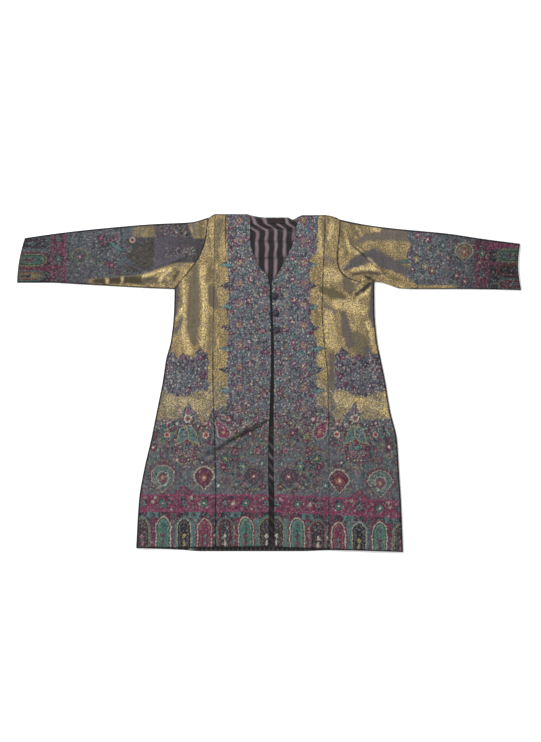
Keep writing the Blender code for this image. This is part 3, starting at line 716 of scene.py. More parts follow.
def spire(weave, where, u, y):
    """Palmette that rises into the gold: spire, ring, two large leaves and rosettes."""
    leafy = mix(TINT["teal"], TINT["slate"], 0.35)
    leaf(weave, where, u, y, (234.0, -118.0), (233.0, -56.0), 9.0, "slate", "plum")
    leaf(weave, where, u, y, (234.0, -108.0), (233.0, -64.0), 4.0, "magenta")
    leaf(weave, where, u, y, (236.0, -112.0), (238.0, -178.0), 9.0, "crimson", "plum")
    for side in (-1.0, 1.0):
        root = (236.0 + side * 3.0, -117.0)
        leaf(weave, where, u, y, root, (236.0 + side * 36.0, -172.0), 15.0, "mustard", "navy", side * 8.0)
        root = (236.0 + side * 5.0, -120.0)
        leaf(weave, where, u, y, root, (236.0 + side * 34.0, -169.0), 13.0, leafy, None, side * 8.0)
        vein = leaf_mask(u, y, root, (236.0 + side * 34.0, -169.0), 11.0, side * 8.0)
        small = ("crimson", "plum", "green", "navy")
        flowers(weave, where * vein * 0.8, u, y, 8.0, 2.4, small, 104, 4, heart="plum")
        curl = (237.0 + side * 54.0, -145.0)
        curl_rings = ((1.0, "plum"), (0.85, "cream"), (0.65, "rust"), (0.35, "crimson"))
        rosette(weave, where, u, y, curl, 10.0, curl_rings, 6)
        bud = (237.0 + side * 54.0, -113.0)
        rosette(weave, where, u, y, bud, 8.0, ((1.0, "plum"), (0.8, "crimson"), (0.35, "cream")), 5)
        bloom(weave, where, u, y, (237.0 + side * 40.0, -126.0), 6.0, "magenta", "mustard", 5)
        bloom(weave, where, u, y, (243.0 + side * 14.0, -196.0), 9.0, "pink", "green", 6)
        bloom(weave, where, u, y, (240.0 + side * 30.0, -184.0), 7.0, "crimson", "teal", 5)
        bloom(weave, where, u, y, (242.0 + side * 9.0, -216.0), 6.0, "magenta", "cream", 5)
    ring = ((1.0, "navy"), (0.9, "cream"), (0.62, "rust"), (0.3, "plum"))
    rosette(weave, where, u, y, (234.0, -99.0), 13.0, ring)
    rosette(weave, where, u, y, (240.0, -182.0), 9.0, ((1.0, "navy"), (0.8, "teal"), (0.35, "crimson")), 6)


def shield(weave, where, x, y, centre, half_width, half_height, tints, seed):
    """Heart-shaped shield, pointed below: dotted rim, thin outline, flowered field and a flower in it."""
    rim, outline, field, small, heart = tints
    off_x = np.abs(x - centre[0]) / half_width
    off_y = (y - centre[1]) / half_height
    lower = np.clip(-off_y, 0.0, 1.2)
    spread = off_x / (1.0 - 0.75 * lower**1.4).clip(0.05)
    share = np.hypot(spread, np.where(off_y > 0, off_y * 1.12, off_y * 0.9))
    bearing = np.arctan2(off_y, off_x)
    size = min(half_width, half_height)
    scallop = 0.025 * np.cos(22.0 * bearing)
    near = where * (share < 1.4)
    weave.lay(near * 0.6 * inside((share - 1.14 - scallop) * size), "plum")
    weave.lay(near * (0.6 + 0.4 * np.cos(26.0 * bearing)) * inside(np.abs(share - 1.04) * size - 2.2), rim)
    weave.lay(near * 0.8 * inside((share - 0.93 - scallop) * size), outline)
    weave.lay(near * inside((share - 0.88 - scallop) * size), "navy")
    weave.lay(near * inside((share - 0.83 - scallop) * size), field)
    flowers(weave, near * 0.9 * inside((share - 0.74) * size), x, y, 8.0, 2.4, small, seed, 5, heart="plum")
    weave.lay(near * 0.7 * inside(np.abs(share - 0.46 - 0.03 * np.cos(8.0 * bearing)) * size - 0.8), outline)
    weave.lay(near * 0.8 * inside((share - 0.34 - 0.03 * np.cos(8.0 * bearing)) * size), small[0])
    weave.lay(near * 0.8 * inside((share - 0.13) * size), heart)


def paisley(weave, where, x, y, centre, length, lean, tint, rim, heart):
    """Teardrop with its tip curled to one side."""
    turn = math.radians(lean)
    off_x, off_y = x - centre[0], y - centre[1]
    side = off_x * math.cos(turn) + off_y * math.sin(turn)
    rise = -off_x * math.sin(turn) + off_y * math.cos(turn)
    side = side - 0.012 * np.maximum(rise, 0.0) ** 2
    half = length / 2
    breadth = 0.52 * half * np.sqrt(np.clip(1 - (rise / half) ** 2, 0.0, 1.0)) * (1.0 - 0.5 * rise / half)
    past = np.where(np.abs(rise) < half, np.abs(side) - breadth, np.hypot(side, np.abs(rise) - half))
    dotted(weave, where, past - 1.0, 1.4, rim, rise * 1.6)
    weave.lay(where * inside(past), "plum")
    weave.lay(where * inside(past + 1.2), tint)
    away = np.hypot(side, rise + 0.42 * half)
    for radius, colour in ((0.3 * half, "plum"), (0.22 * half, heart), (0.1 * half, "mustard")):
        weave.lay(where * inside(away - radius), colour)
    stem = inside(np.abs(side) - 0.7) * inside(-0.1 * half - rise)
    weave.lay(where * 0.8 * stem * inside(past + 3.0), "plum")


# How far the flowers of the middle reach over the gold: height, reach on the wearer's right and left
FLOWER_REACH = (
    (-120.0, 128.0, 128.0),
    (20.0, 123.0, 127.0),
    (110.0, 122.0, 126.0),
    (180.0, 120.0, 109.0),
    (340.0, 121.0, 106.0),
    (375.0, 124.0, 128.0),
    (473.0, 126.0, 130.0),
)
SPIKE_TOP, SPIKE_PITCH, SPIKE_LENGTH = 330.0, 58.5, 24.0

# Lower edge of the gold, by distance from the middle
GOLD_FOOT = (
    (118.0, -64.0),
    (150.0, -68.0),
    (170.0, -84.0),
    (187.0, -122.0),
    (204.0, -92.0),
    (222.0, -70.0),
    (232.0, -56.0),
    (242.0, -74.0),
    (262.0, -100.0),
    (300.0, -102.0),
    (345.0, -98.0),
)


def flower_edge(x, y):
    """Half width of the flowered middle, with its leafy spikes."""
    reach = np.where(x < CENTRE_X, through(FLOWER_REACH, 1, y), through(FLOWER_REACH, 2, y))
    off = np.abs(y - SPIKE_TOP + SPIKE_PITCH * np.round((SPIKE_TOP - y) / SPIKE_PITCH))
    spike = SPIKE_LENGTH * np.clip(1.0 - off / 13.0, 0.0, 1.0) ** 1.3
    return reach + np.where(y < 350.0, spike, 0.0) + 1.8 * ripple(x, y, 17.0, 9)


def block(u, y):
    """Flowered block set in the gold of each side, with its uneven edge and one peak."""
    ragged = 4.0 * ripple(u, y, 24.0, 3)
    sides = np.maximum(176.0 - u, u - 345.0)
    peak = 24.0 * np.clip(1.0 - np.abs(u - 196.0) / 22.0, 0.0, 1.0)
    step = 16.0 * smooth((u - 240.0) / 60.0)
    top = y - (76.0 + peak + step * 0.6) - 3.0 * np.cos(u / 5.5)
    foot = (-30.0 - 8.0 * np.cos(u / 20.0)) - y
    return np.maximum(np.maximum(sides, top), foot) + ragged


def gold_field(x, y):
    """1 where plain metal cloth shows on the body."""
    u = np.abs(x - CENTRE_X)
    past_flowers = inside(flower_edge(x, y) - u, 2.5)
    above_foot = inside(through(GOLD_FOOT, 1, u) + 1.5 * np.cos(u / 3.0) - y, 3.0)
    return past_flowers * above_foot * (1.0 - inside(block(u, y), 2.5))


def ground(weave, where, x, y, tone=0.0):
    """Slate ground with its broad drift of colour."""
    drift = 0.5 + 0.5 * ripple(x, y, 120.0, 21)
    weave.lay(where, mix(TINT["slate"], TINT["mauve"], np.clip(drift + tone, 0.0, 1.0)[:, None]))


def meadow(weave, where, x, y, density=1.0):
    """Dense small flowers, leaves and stems of the middle and the border."""
    vines(weave, where * 0.6, x, y, 6.0, 0.7, "navy")
    vines(weave, where * 0.5, x + 40.0, y, 9.0, 0.8, "teal")
    vines(weave, where * 0.4, x + 90.0, y + 30.0, 7.5, 0.6, "pale")
    leaves = ("teal", "slate", "green", "navy", "mauve")
    sprigs(weave, where * 0.7 * density, x, y, 10.0, 3.6, leaves, 34)
    fine = ("navy", "mauve", "teal", "slate", "pink", "slate", "pale", "crimson")
    flowers(weave, where * 0.7 * density, x, y, 7.5, 2.0, fine, 31, 4, heart="navy")
    small = ("teal", "magenta", "slate", "pink", "slate", "navy", "mustard", "teal", "violet")
    flowers(weave, where * 0.7 * density, x, y, 15.0, 3.6, small, 32)
    bold = ("magenta", "teal", "slate", "crimson", "slate")
    flowers(weave, where * 0.6 * density, x, y, 34.0, 6.5, bold, 33, 6, heart="pink")


def fine_threads(weave, where, strength=1.0):
    """Breaks up the whole pattern with the small floats of a jacquard weave."""
    x, y = weave.x, weave.y
    specks(weave, where, x, y, 4.9, 1.4, ("dark", "slate", "navy", "slate", "plum"), 83, 0.9 * strength)
    specks(weave, where, x, y, 6.2, 1.3, ("pale", "slate", "pale", "teal", "cream"), 82, 0.95 * strength)
    bright = ("teal", "navy", "violet", "magenta", "slate", "dark")
    specks(weave, where, x, y, 8.9, 1.5, bright, 81, 0.7 * strength)


# Single flowers of the border: distance from the middle, height, radius, petals' tint, heart's tint
BORDER_FLOWERS = (
    (96.0, -149.0, 10.0, "mustard", "green"),
    (119.0, -102.0, 12.0, "magenta", "cream"),
    (91.0, -106.0, 9.0, "magenta", "teal"),
    (128.0, -212.0, 11.0, "green", "mustard"),
    (133.0, -236.0, 9.0, "crimson", "pink"),
    (81.0, -233.0, 12.0, "teal", "mustard"),
    (153.0, -190.0, 5.0, "mustard", "rust"),
    (40.0, -190.0, 10.0, "pink", "crimson"),
    (60.0, -140.0, 10.0, "crimson", "cream"),
    (330.0, -180.0, 10.0, "crimson", "cream"),
    (292.0, -218.0, 8.0, "rust", "teal"),
    (194.0, -222.0, 8.0, "violet", "cream"),
    (102.0, -186.0, 8.0, "magenta", "mustard"),
    (170.0, -168.0, 9.0, "crimson", "teal"),
    (268.0, -232.0, 8.0, "teal", "crimson"),
    (214.0, -210.0, 7.0, "magenta", "cream"),
    (28.0, -226.0, 8.0, "teal", "cream"),
    (150.0, -286.0, 9.0, "teal", "cream"),
    (98.0, -282.0, 10.0, "green", "pink"),
    (24.0, -290.0, 8.0, "crimson", "mustard"),
)

# Flowers of the middle, repeated up the fronts: distance from the middle, step up, radius, tints
MIDDLE_FLOWERS = (
    (20.0, 0.1, 9.0, "crimson", "pink"),
    (40.0, 0.3, 5.0, "mustard", "rust"),
    (42.0, 0.8, 5.0, "cream", "crimson"),
    (60.0, 0.55, 9.0, "magenta", "cream"),
    (64.0, 0.05, 7.0, "teal", "pink"),
    (112.0, 0.5, 7.0, "violet", "magenta"),
    (112.0, 0.0, 7.0, "crimson", "magenta"),
)
RING_PLACE, RING_RADIUS = 91.0, 12.5


def bloom(weave, where, x, y, centre, radius, tint, heart, petals=6):
    """Flower of separate petals round a dark ring and a small heart."""
    near = where * (np.abs(x - centre[0]) < 1.5 * radius) * (np.abs(y - centre[1]) < 1.5 * radius)
    away = np.hypot(x - centre[0], y - centre[1])
    wave = np.cos(petals * np.arctan2(y - centre[1], x - centre[0]) + centre[0])
    weave.lay(near * 0.8 * inside(away - radius * (1.1 + 0.12 * wave)), "navy")
    weave.lay(near * inside(away - radius * (0.82 + 0.16 * wave)), tint)
    weave.lay(near * inside(np.abs(away - radius * 0.46) - 0.9), "plum")
    weave.lay(near * inside(away - radius * 0.32), heart)


# Flowers of the block set in the gold: distance from the middle, height, radius, tints
BLOCK_FLOWERS = (
    (196.0, 88.0, 7.0, "violet", "pink"),
    (198.0, 70.0, 8.0, "magenta", "pink"),
    (190.0, 52.0, 8.0, "violet", "magenta"),
    (204.0, 40.0, 7.0, "magenta", "cream"),
    (192.0, 18.0, 8.0, "crimson", "violet"),
    (206.0, -4.0, 7.0, "magenta", "violet"),
    (228.0, 58.0, 8.0, "plum", "magenta"),
    (246.0, 70.0, 7.0, "magenta", "pink"),
    (262.0, 52.0, 8.0, "navy", "violet"),
    (288.0, 64.0, 8.0, "violet", "pink"),
    (306.0, 44.0, 8.0, "magenta", "cream"),
    (318.0, 62.0, 7.0, "crimson", "violet"),
    (300.0, 14.0, 8.0, "magenta", "violet"),
    (276.0, -8.0, 7.0, "violet", "cream"),
    (232.0, -18.0, 7.0, "crimson", "pink"),
    (318.0, -14.0, 8.0, "violet", "magenta"),
)


# Clusters of small flowers round the motifs of the border: distance from the middle, height, reach, strength
CLUSTERS = (
    (237.0, -150.0, 62.0, 1.0),
    (240.0, -205.0, 40.0, 1.0),
    (312.0, -140.0, 34.0, 0.9),
    (150.0, -104.0, 44.0, 1.0),
    (104.0, -132.0, 34.0, 0.9),
    (44.0, -120.0, 50.0, 0.9),
    (34.0, -176.0, 34.0, 0.8),
    (122.0, -206.0, 34.0, 0.9),
    (84.0, -196.0, 24.0, 0.7),
    (62.0, -262.0, 46.0, 0.9),
    (112.0, -262.0, 34.0, 0.7),
    (189.0, -262.0, 42.0, 0.5),
    (304.0, -262.0, 50.0, 0.5),
    (326.0, -206.0, 34.0, 0.7),
)


def border_clusters(weave, where, u, y):
    """Small blossoms, leaves and stems that fill the border in clusters, with calm cloth between them."""
    thick = np.zeros(u.size)
    for place, level, reach, strength in CLUSTERS:
        away = np.hypot(u - place, y - level)
        thick = np.maximum(thick, strength * smooth((reach - away) / 16.0 + 0.5))
    thick = where * thick
    vines(weave, thick * 0.5, u, y, 5.0, 0.6, "mustard")
    vines(weave, thick * 0.7, u + 30.0, y, 6.5, 0.8, "plum")
    sprigs(weave, thick * 0.8, u, y, 11.0, 3.6, ("teal", "green", "navy", "teal"), 101)
    small = ("magenta", "teal", "crimson", "pink", "navy", "mustard", "magenta")
    flowers(weave, thick * 0.9, u, y, 9.5, 3.0, small, 102)
    flowers(weave, thick * 0.9, u, y, 21.0, 4.6, ("magenta", "crimson", "teal", "pink"), 103, 6)


def block_cloth(weave, where, u, y):
    """Dark mauve ground with purple and magenta flowers, plain toward its middle."""
    plain = np.exp(-(((u - 246.0) / 34.0) ** 2) - ((y - 16.0) / 30.0) ** 2)
    weave.lay(where * 0.55, mix(TINT["mauve"], TINT["navy"], 0.25))
    weave.lay(where * 0.6 * plain, mix(TINT["slate"], TINT["navy"], 0.3))
    small = ("violet", "navy", "magenta", "slate", "pink", "violet", "cream", "dark")
    flowers(weave, where * 0.85 * (1.0 - 0.8 * plain), u, y, 10.0, 3.4, small, 105, heart="plum")
    for place, level, radius, petal, heart in BLOCK_FLOWERS:
        bloom(weave, where * 0.9, u, y, (place, level), radius, petal, heart)


def body_pattern(weave):
    """Pattern of the fronts and the back, mirrored about the middle of the jacket."""
    x = weave.x + 1.3 * ripple(weave.x, weave.y, 11.0, 61) + 1.5 * ripple(weave.x, weave.y, 37.0, 62)
    y = weave.y + 1.3 * ripple(weave.x, weave.y, 12.0, 63) + 1.5 * ripple(weave.x, weave.y, 41.0, 64)
    u = np.abs(x - CENTRE_X)
    everywhere = np.ones(x.size)
    sag = y + 0.05 * np.maximum(x - 17.0, 0.0)
    gold = gold_field(x, y)
    plain = smooth((-90.0 - y) / 60.0)
    ground(weave, everywhere, x, y)
    meadow(weave, 1.0 - gold, u, y, 1.0)
    drift = np.clip(0.45 + 0.55 * ripple(x, y, 60.0, 27), 0.0, 1.0)
    weave.lay((1.0 - gold) * plain * drift * 0.75, mix(TINT["slate"], TINT["navy"], 0.12))
    block_cloth(weave, inside(block(u, y)), u, y)
    for spike in range(-2, 8):
        level = SPIKE_TOP - spike * SPIKE_PITCH
        near = (np.abs(y - level) < 40.0).astype(float)
        reach = through(FLOWER_REACH, 1, level)
        tint = "plum" if spike % 2 else "teal"
        if spike >= 0:
            leaf(weave, near, u, y, (reach - 8.0, level), (reach + 23.0, level), 5.0, tint, "navy")
        ring = ((1.0, "crimson"), (0.82, "slate"), (0.66, "crimson"), (0.48, "mustard"), (0.26, "plum"))
        strength = (0.75 if spike % 2 else 0.9) * (1.0 - plain)
        rosette(weave, near * strength, u, y, (RING_PLACE, level + 8.0), RING_RADIUS, ring, 8, 0.1)
        for place, step, radius, petal, heart in MIDDLE_FLOWERS:
            centre = (place + 4.0 * math.sin(spike * 2.4 + place), level + (step - 0.25) * SPIKE_PITCH)
            bloom(weave, 0.75 * (1.0 - plain), u, y, centre, radius, petal, heart)
    weave.lay(gold, "gold", 1.0)
    border = smooth((20.0 - y) / 40.0)
    border_clusters(weave, smooth((-60.0 - y) / 40.0) * (1.0 - gold), u, sag)
    spire(weave, border, u, y)
    rosy = mix(TINT["magenta"], TINT["plum"], 0.15)
    paisley(weave, border, u, y, (138.0, -128.0), 56.0, -22.0, rosy, "cream", "rust")
    for place, level, radius, petal, heart in BORDER_FLOWERS:
        bloom(weave, border, u, y, (place, level), radius, petal, heart)
    mossy = mix(TINT["slate"], TINT["green"], 0.5)
    wide = ("crimson", "cream", mossy, ("crimson", "teal", "plum", "cream"), "mustard")
    shield(weave, border, u, sag, (304.0, -264.0), 37.0, 41.0, wide, 71)
    maroon = mix(TINT["plum"], TINT["crimson"], 0.45)
    narrow = ("cream", "crimson", maroon, ("rust", "crimson", "plum", "pink"), "cream")
    shield(weave, border, u, sag, (189.0, -264.0), 27.0, 32.0, narrow, 72)
    dusky = mix(TINT["plum"], TINT["mauve"], 0.35)
    inner = ("mauve", "plum", dusky, ("crimson", "plum", "navy", "rust"), "cream")
    shield(weave, border, u, sag, (50.0, -260.0), 27.0, 27.0, inner, 73)
    pyramid = np.abs(u - 245.0) * 0.9 + (sag + 284.0) + 2.0 * np.cos(u * 0.7)
    foot = (sag > -316.0) * border
    for inset, tint in (
        (0.0, "plum"),
        (2.5, "crimson"),
        (9.0, "mauve"),
        (13.0, "crimson"),
        (18.0, "plum"),
        (24.0, "teal"),
    ):
        weave.lay(foot * inside(pyramid + inset), tint)
    band = inside(np.abs(sag + 336.0) - 25.0)
    border_band(weave, band, u, sag + 361.0, 50.0, ARCH_PITCH, 72.0, 41)
    hem = inside(sag + 361.0)
    weave.lay(hem, TINT["plum"] * 0.9)
    hem_flowers = ("teal", "crimson", "mauve", "pink", "plum", "navy")
    flowers(weave, hem, u, sag, 8.5, 2.4, hem_flowers, 43, heart="navy")
    for index, tint in enumerate(PILLARS):
        middle = 14.0 + (index + 0.5) * ARCH_PITCH
        column = hem * inside(np.abs(u - middle) - 8.0)
        weave.lay(column * 0.7, tint)
        bright = ("cream", "rust", "pink", "teal")
        flowers(weave, column, u, sag, 11.0, 3.0, bright, 44 + index, 4, heart="plum")
        crown = hem * inside(np.abs(u - middle) - 15.0) * inside(-377.0 - sag)
        weave.lay(crown * 0.8, "teal" if index % 2 else "crimson")
        bloom(weave, hem, u, sag, (middle, -370.0), 7.0, "green", "navy", 5)
    arcade(weave, hem, u, sag + 465.0, HEM_ARCHES, 50)
    weave.shade(1.0 - 0.1 * smooth((-60.0 - y) / 60.0) * (1.0 - gold))
    calm = 0.62 * smooth((-110.0 - y) / 40.0)
    fine_threads(weave, (1.0 - gold * (1.0 - border)) * (1.0 - calm))


def paint_metal_light_and_shade(weave, shades, slope_x, slope_y, light_with_fold, seed):
    """Paint highlights and shade on the metal cloth: painted highlight and painted shade by which way its
    folds lean, broad random patches of lighter and darker, and the listed bands of painted highlight and
    painted shade.
    """
    x, y, metal = weave.x, weave.y, weave.metal.copy()
    # Painted highlight and painted shade by which way the folds lean, with broad random patches
    lean = np.clip(light_with_fold * (1.4 * slope_y - 2.0 * slope_x), -1.0, 1.0)
    turn = lean + 0.35 * ripple(x * 2.4, y, 120.0, seed) + 0.2 * ripple(x * 1.8, y, 46.0, seed + 1)
    weave.lay(metal * np.clip(turn, 0.0, 1.0) * 0.7, "bright", 1.0)
    weave.lay(metal * np.clip(-turn, 0.0, 1.0) * 0.8, "shade", 0.3)
    uneven = 2.5 * ripple(x, y, 21.0, seed + 2)
    for tint, strength, metal_left, points in shades:
        past = along_line(x, y, points) + uneven
        weave.lay(metal * strength * inside(past, 7.0), tint, metal_left)


def strip(across, low, high, softness=3.0):
    """1 between two levels."""
    return inside(low - across, softness) * inside(across - high, softness)


def right_sleeve_pattern(weave):
    """Pattern of the sleeve on the viewer's left, from the armhole to its arches."""
    x, y = weave.x, weave.y
    everywhere = np.ones(x.size)
    up = x + SPAN / 2 - np.interp(y, (281.0, 406.0), (0.0, 22.0))
    ground(weave, everywhere, x, y, -0.3)
    plain = strip(x, -566.0, -486.0, 20.0)
    inset = strip(x, -321.0 + 3.0 * np.cos(y / 9.0), -150.0, 7.0)
    meadow(weave, (1.0 - 0.5 * plain) * (1.0 - inset), x, y, 0.8)
    toward_gold = smooth((x + 300.0) / 90.0)[:, None]
    weave.lay(inset, mix(mix(TINT["mauve"], TINT["slate"], 0.2) * 0.86, TINT["warp_and_shade_grey"] * 0.8, toward_gold))
    bright_strip = inset * strip(y, 410.0, 460.0, 6.0)
    bright = ("pink", "cream", "mauve", "rust", "plum", "magenta")
    flowers(weave, bright_strip, x, y, 8.0, 2.6, bright, 91, heart="plum")
    pale_strip = inset * strip(y, 352.0, 380.0, 10.0) * strip(x, -290.0, -206.0, 10.0)
    pale = ("cream", "slate", "pink", "violet", "pale")
    flowers(weave, pale_strip, x, y, 7.5, 2.3, pale, 92, 4, heart="plum")
    reach = -390.0 + 7.0 * np.cos(y / 6.0) + 8.0 * ripple(x, y, 30.0, 93)
    shadow = strip(x, reach, -321.0, 9.0) * strip(y, 322.0 + 0.3 * (x + 321.0), 407.0, 10.0)
    weave.lay(shadow, mix(TINT["olive"], TINT["warp_and_shade_grey"], 0.6) * 0.78)
    flowers(weave, shadow * 0.55, x, y, 11.0, 2.6, ("plum", "warp_and_shade_grey", "violet", "olive"), 94, 4, heart="plum")
    corner = strip(x, -379.0, -321.0, 8.0) * inside(409.0 - y, 6.0) * 0.8
    fold_edge = np.interp(x, (-500.0, -361.0, -258.0), (290.0, 302.0, 336.0))
    lower = inside(y - fold_edge, 5.0) * inside(-500.0 - x, 30.0)
    head = inside(-214.0 - x + 0.4 * (412.0 - y), 4.0) * inside(405.0 - y, 6.0)
    darker = mix(0.5, 0.7, smooth((x + 640.0) / 180.0))
    for place_x, place_y, radius in (
        (-470.0, 406.0, 10.0),
        (-448.0, 396.0, 9.0),
        (-430.0, 404.0, 8.0),
        (-440.0, 330.0, 11.0),
    ):
        bloom(weave, everywhere, x, y, (place_x, place_y), radius, "magenta", "pink")
    leaf(weave, everywhere, x, y, (-446.0, 396.0), (-400.0, 368.0), 6.0, "teal", "navy", 4.0)
    for level, tip in ((403.0, -340.0), (330.0, -346.0)):
        leaf(weave, everywhere * 0.7, x, y, (-394.0, level), (tip, level - 14.0), 4.0, "mauve", "plum")
    pale_rings = ((1.0, "navy"), (0.9, "cream"), (0.6, "rust"), (0.3, "crimson"))
    rosette(weave, everywhere, x, y, (-382.0, 400.0), 9.0, pale_rings)
    jewel = ("mustard", "navy", mix(TINT["slate"], TINT["green"], 0.5), ("magenta", "teal", "plum"), "cream")
    shield(weave, everywhere, x, y, (-529.0, 353.0), 21.0, 24.0, jewel, 95)
    band = inside(np.abs(x + 589.0) - 21.0)
    border_band(weave, band, y, x + 610.0, 42.0, 58.0, 346.0, 61)
    arches = inside(x + 611.0)
    weave.lay(arches, "plum")
    flowers(weave, arches, x, y, 8.5, 2.0, ("teal", "crimson", "mauve", "plum"), 62, heart="navy")
    weave.lay(arches * inside(np.abs(y - 369.0) - 6.0), "mauve")
    weave.lay(arches * inside(np.abs(y - 320.0) - 8.0), "crimson")
    rows = (
        (391.0, 12.5, 70.0, "plum", "mauve", "teal"),
        (344.0, 15.0, 72.0, "green", "mustard", "crimson"),
        (300.0, 8.0, 68.0, "mustard", "rust", "plum"),
    )
    arcade(weave, arches, y, up, rows, 63)
    weave.lay(np.maximum(np.maximum(corner, lower), head), "gold", 1.0)
    weave.lay(corner * 0.5, "olive", 0.5)
    busy = 1.0 - 0.7 * inset * (1.0 - bright_strip - pale_strip)
    fine_threads(weave, (1.0 - weave.metal) * (1.0 - 0.6 * shadow) * busy, 0.75)
    darker = darker * (1.0 - 0.1 * strip(x, -566.0, -392.0, 12.0))
    weave.shade(mix(darker, 1.0, weave.metal))


def left_sleeve_pattern(weave):
    """Pattern of the sleeve on the viewer's right."""
    x, y = weave.x, weave.y
    everywhere = np.ones(x.size)
    up = np.interp(y, (260.0, 390.0), (SPAN / 2, 702.5)) - x
    ground(weave, everywhere, x, y, -0.1)
    meadow(weave, everywhere * 0.85, x, y, 0.9)
    for place, radius, tint in (
        ((417.0, 414.0), 10.0, "magenta"),
        ((444.0, 402.0), 10.0, "magenta"),
        ((412.0, 346.0), 11.0, "mustard"),
        ((436.0, 326.0), 10.0, "mustard"),
        ((456.0, 314.0), 10.0, "rust"),
        ((486.0, 386.0), 9.0, "teal"),
        ((524.0, 300.0), 10.0, "crimson"),
        ((548.0, 284.0), 10.0, "magenta"),
        ((500.0, 350.0), 7.0, "pink"),
        ((400.0, 340.0), 7.0, "magenta"),
        ((402.0, 318.0), 7.0, "magenta"),
    ):
        bloom(weave, everywhere, x, y, place, radius, tint, "cream")
    amber = mix(TINT["mustard"], TINT["plum"], 0.4)
    jewel = ("cream", "crimson", amber, ("rust", "mustard", "plum"), "cream")
    shield(weave, everywhere, x, y, (546.0, 367.0), 24.0, 26.0, jewel, 96)
    band = inside(np.abs(x - 595.0) - 19.0)
    border_band(weave, band, y, 614.0 - x, 38.0, 58.0, 363.0, 71)
    arches = inside(615.0 - x)
    weave.lay(arches, "plum")
    flowers(weave, arches, x, y, 8.5, 2.0, ("teal", "crimson", "mauve", "plum"), 72, heart="navy")
    weave.lay(arches * inside(np.abs(y - 386.0) - 12.0), "magenta")
    weave.lay(arches * inside(np.abs(y - 334.0) - 6.0), "crimson")
    rows = (
        (356.0, 15.5, 66.0, "green", "mustard", "crimson"),
        (317.0, 12.0, 62.0, "navy", "rust", "mauve"),
        (276.0, 11.0, 62.0, "crimson", "mustard", "teal"),
    )
    arcade(weave, arches, y, up, rows, 73)
    edge = 390.0 + 6.0 * np.cos((y - 330.0) / 9.0) + np.interp(y, (262.0, 300.0), (26.0, 0.0))
    gold = np.maximum(inside(x - edge, 3.0), inside(y - 274.0, 4.0) * inside(x - 520.0, 20.0))
    weave.lay(gold, "gold", 1.0)
    deep_teal = mix(TINT["teal"], TINT["navy"], 0.4)
    leaf(weave, everywhere, x, y, (402.0, 341.0), (356.0, 339.0), 4.0, deep_teal, "plum")
    fine_threads(weave, 1.0 - weave.metal, 0.8)
    darker = mix(0.9, 0.5, smooth((x - 440.0) / 190.0))
    weave.shade(mix(darker, 1.0, weave.metal))


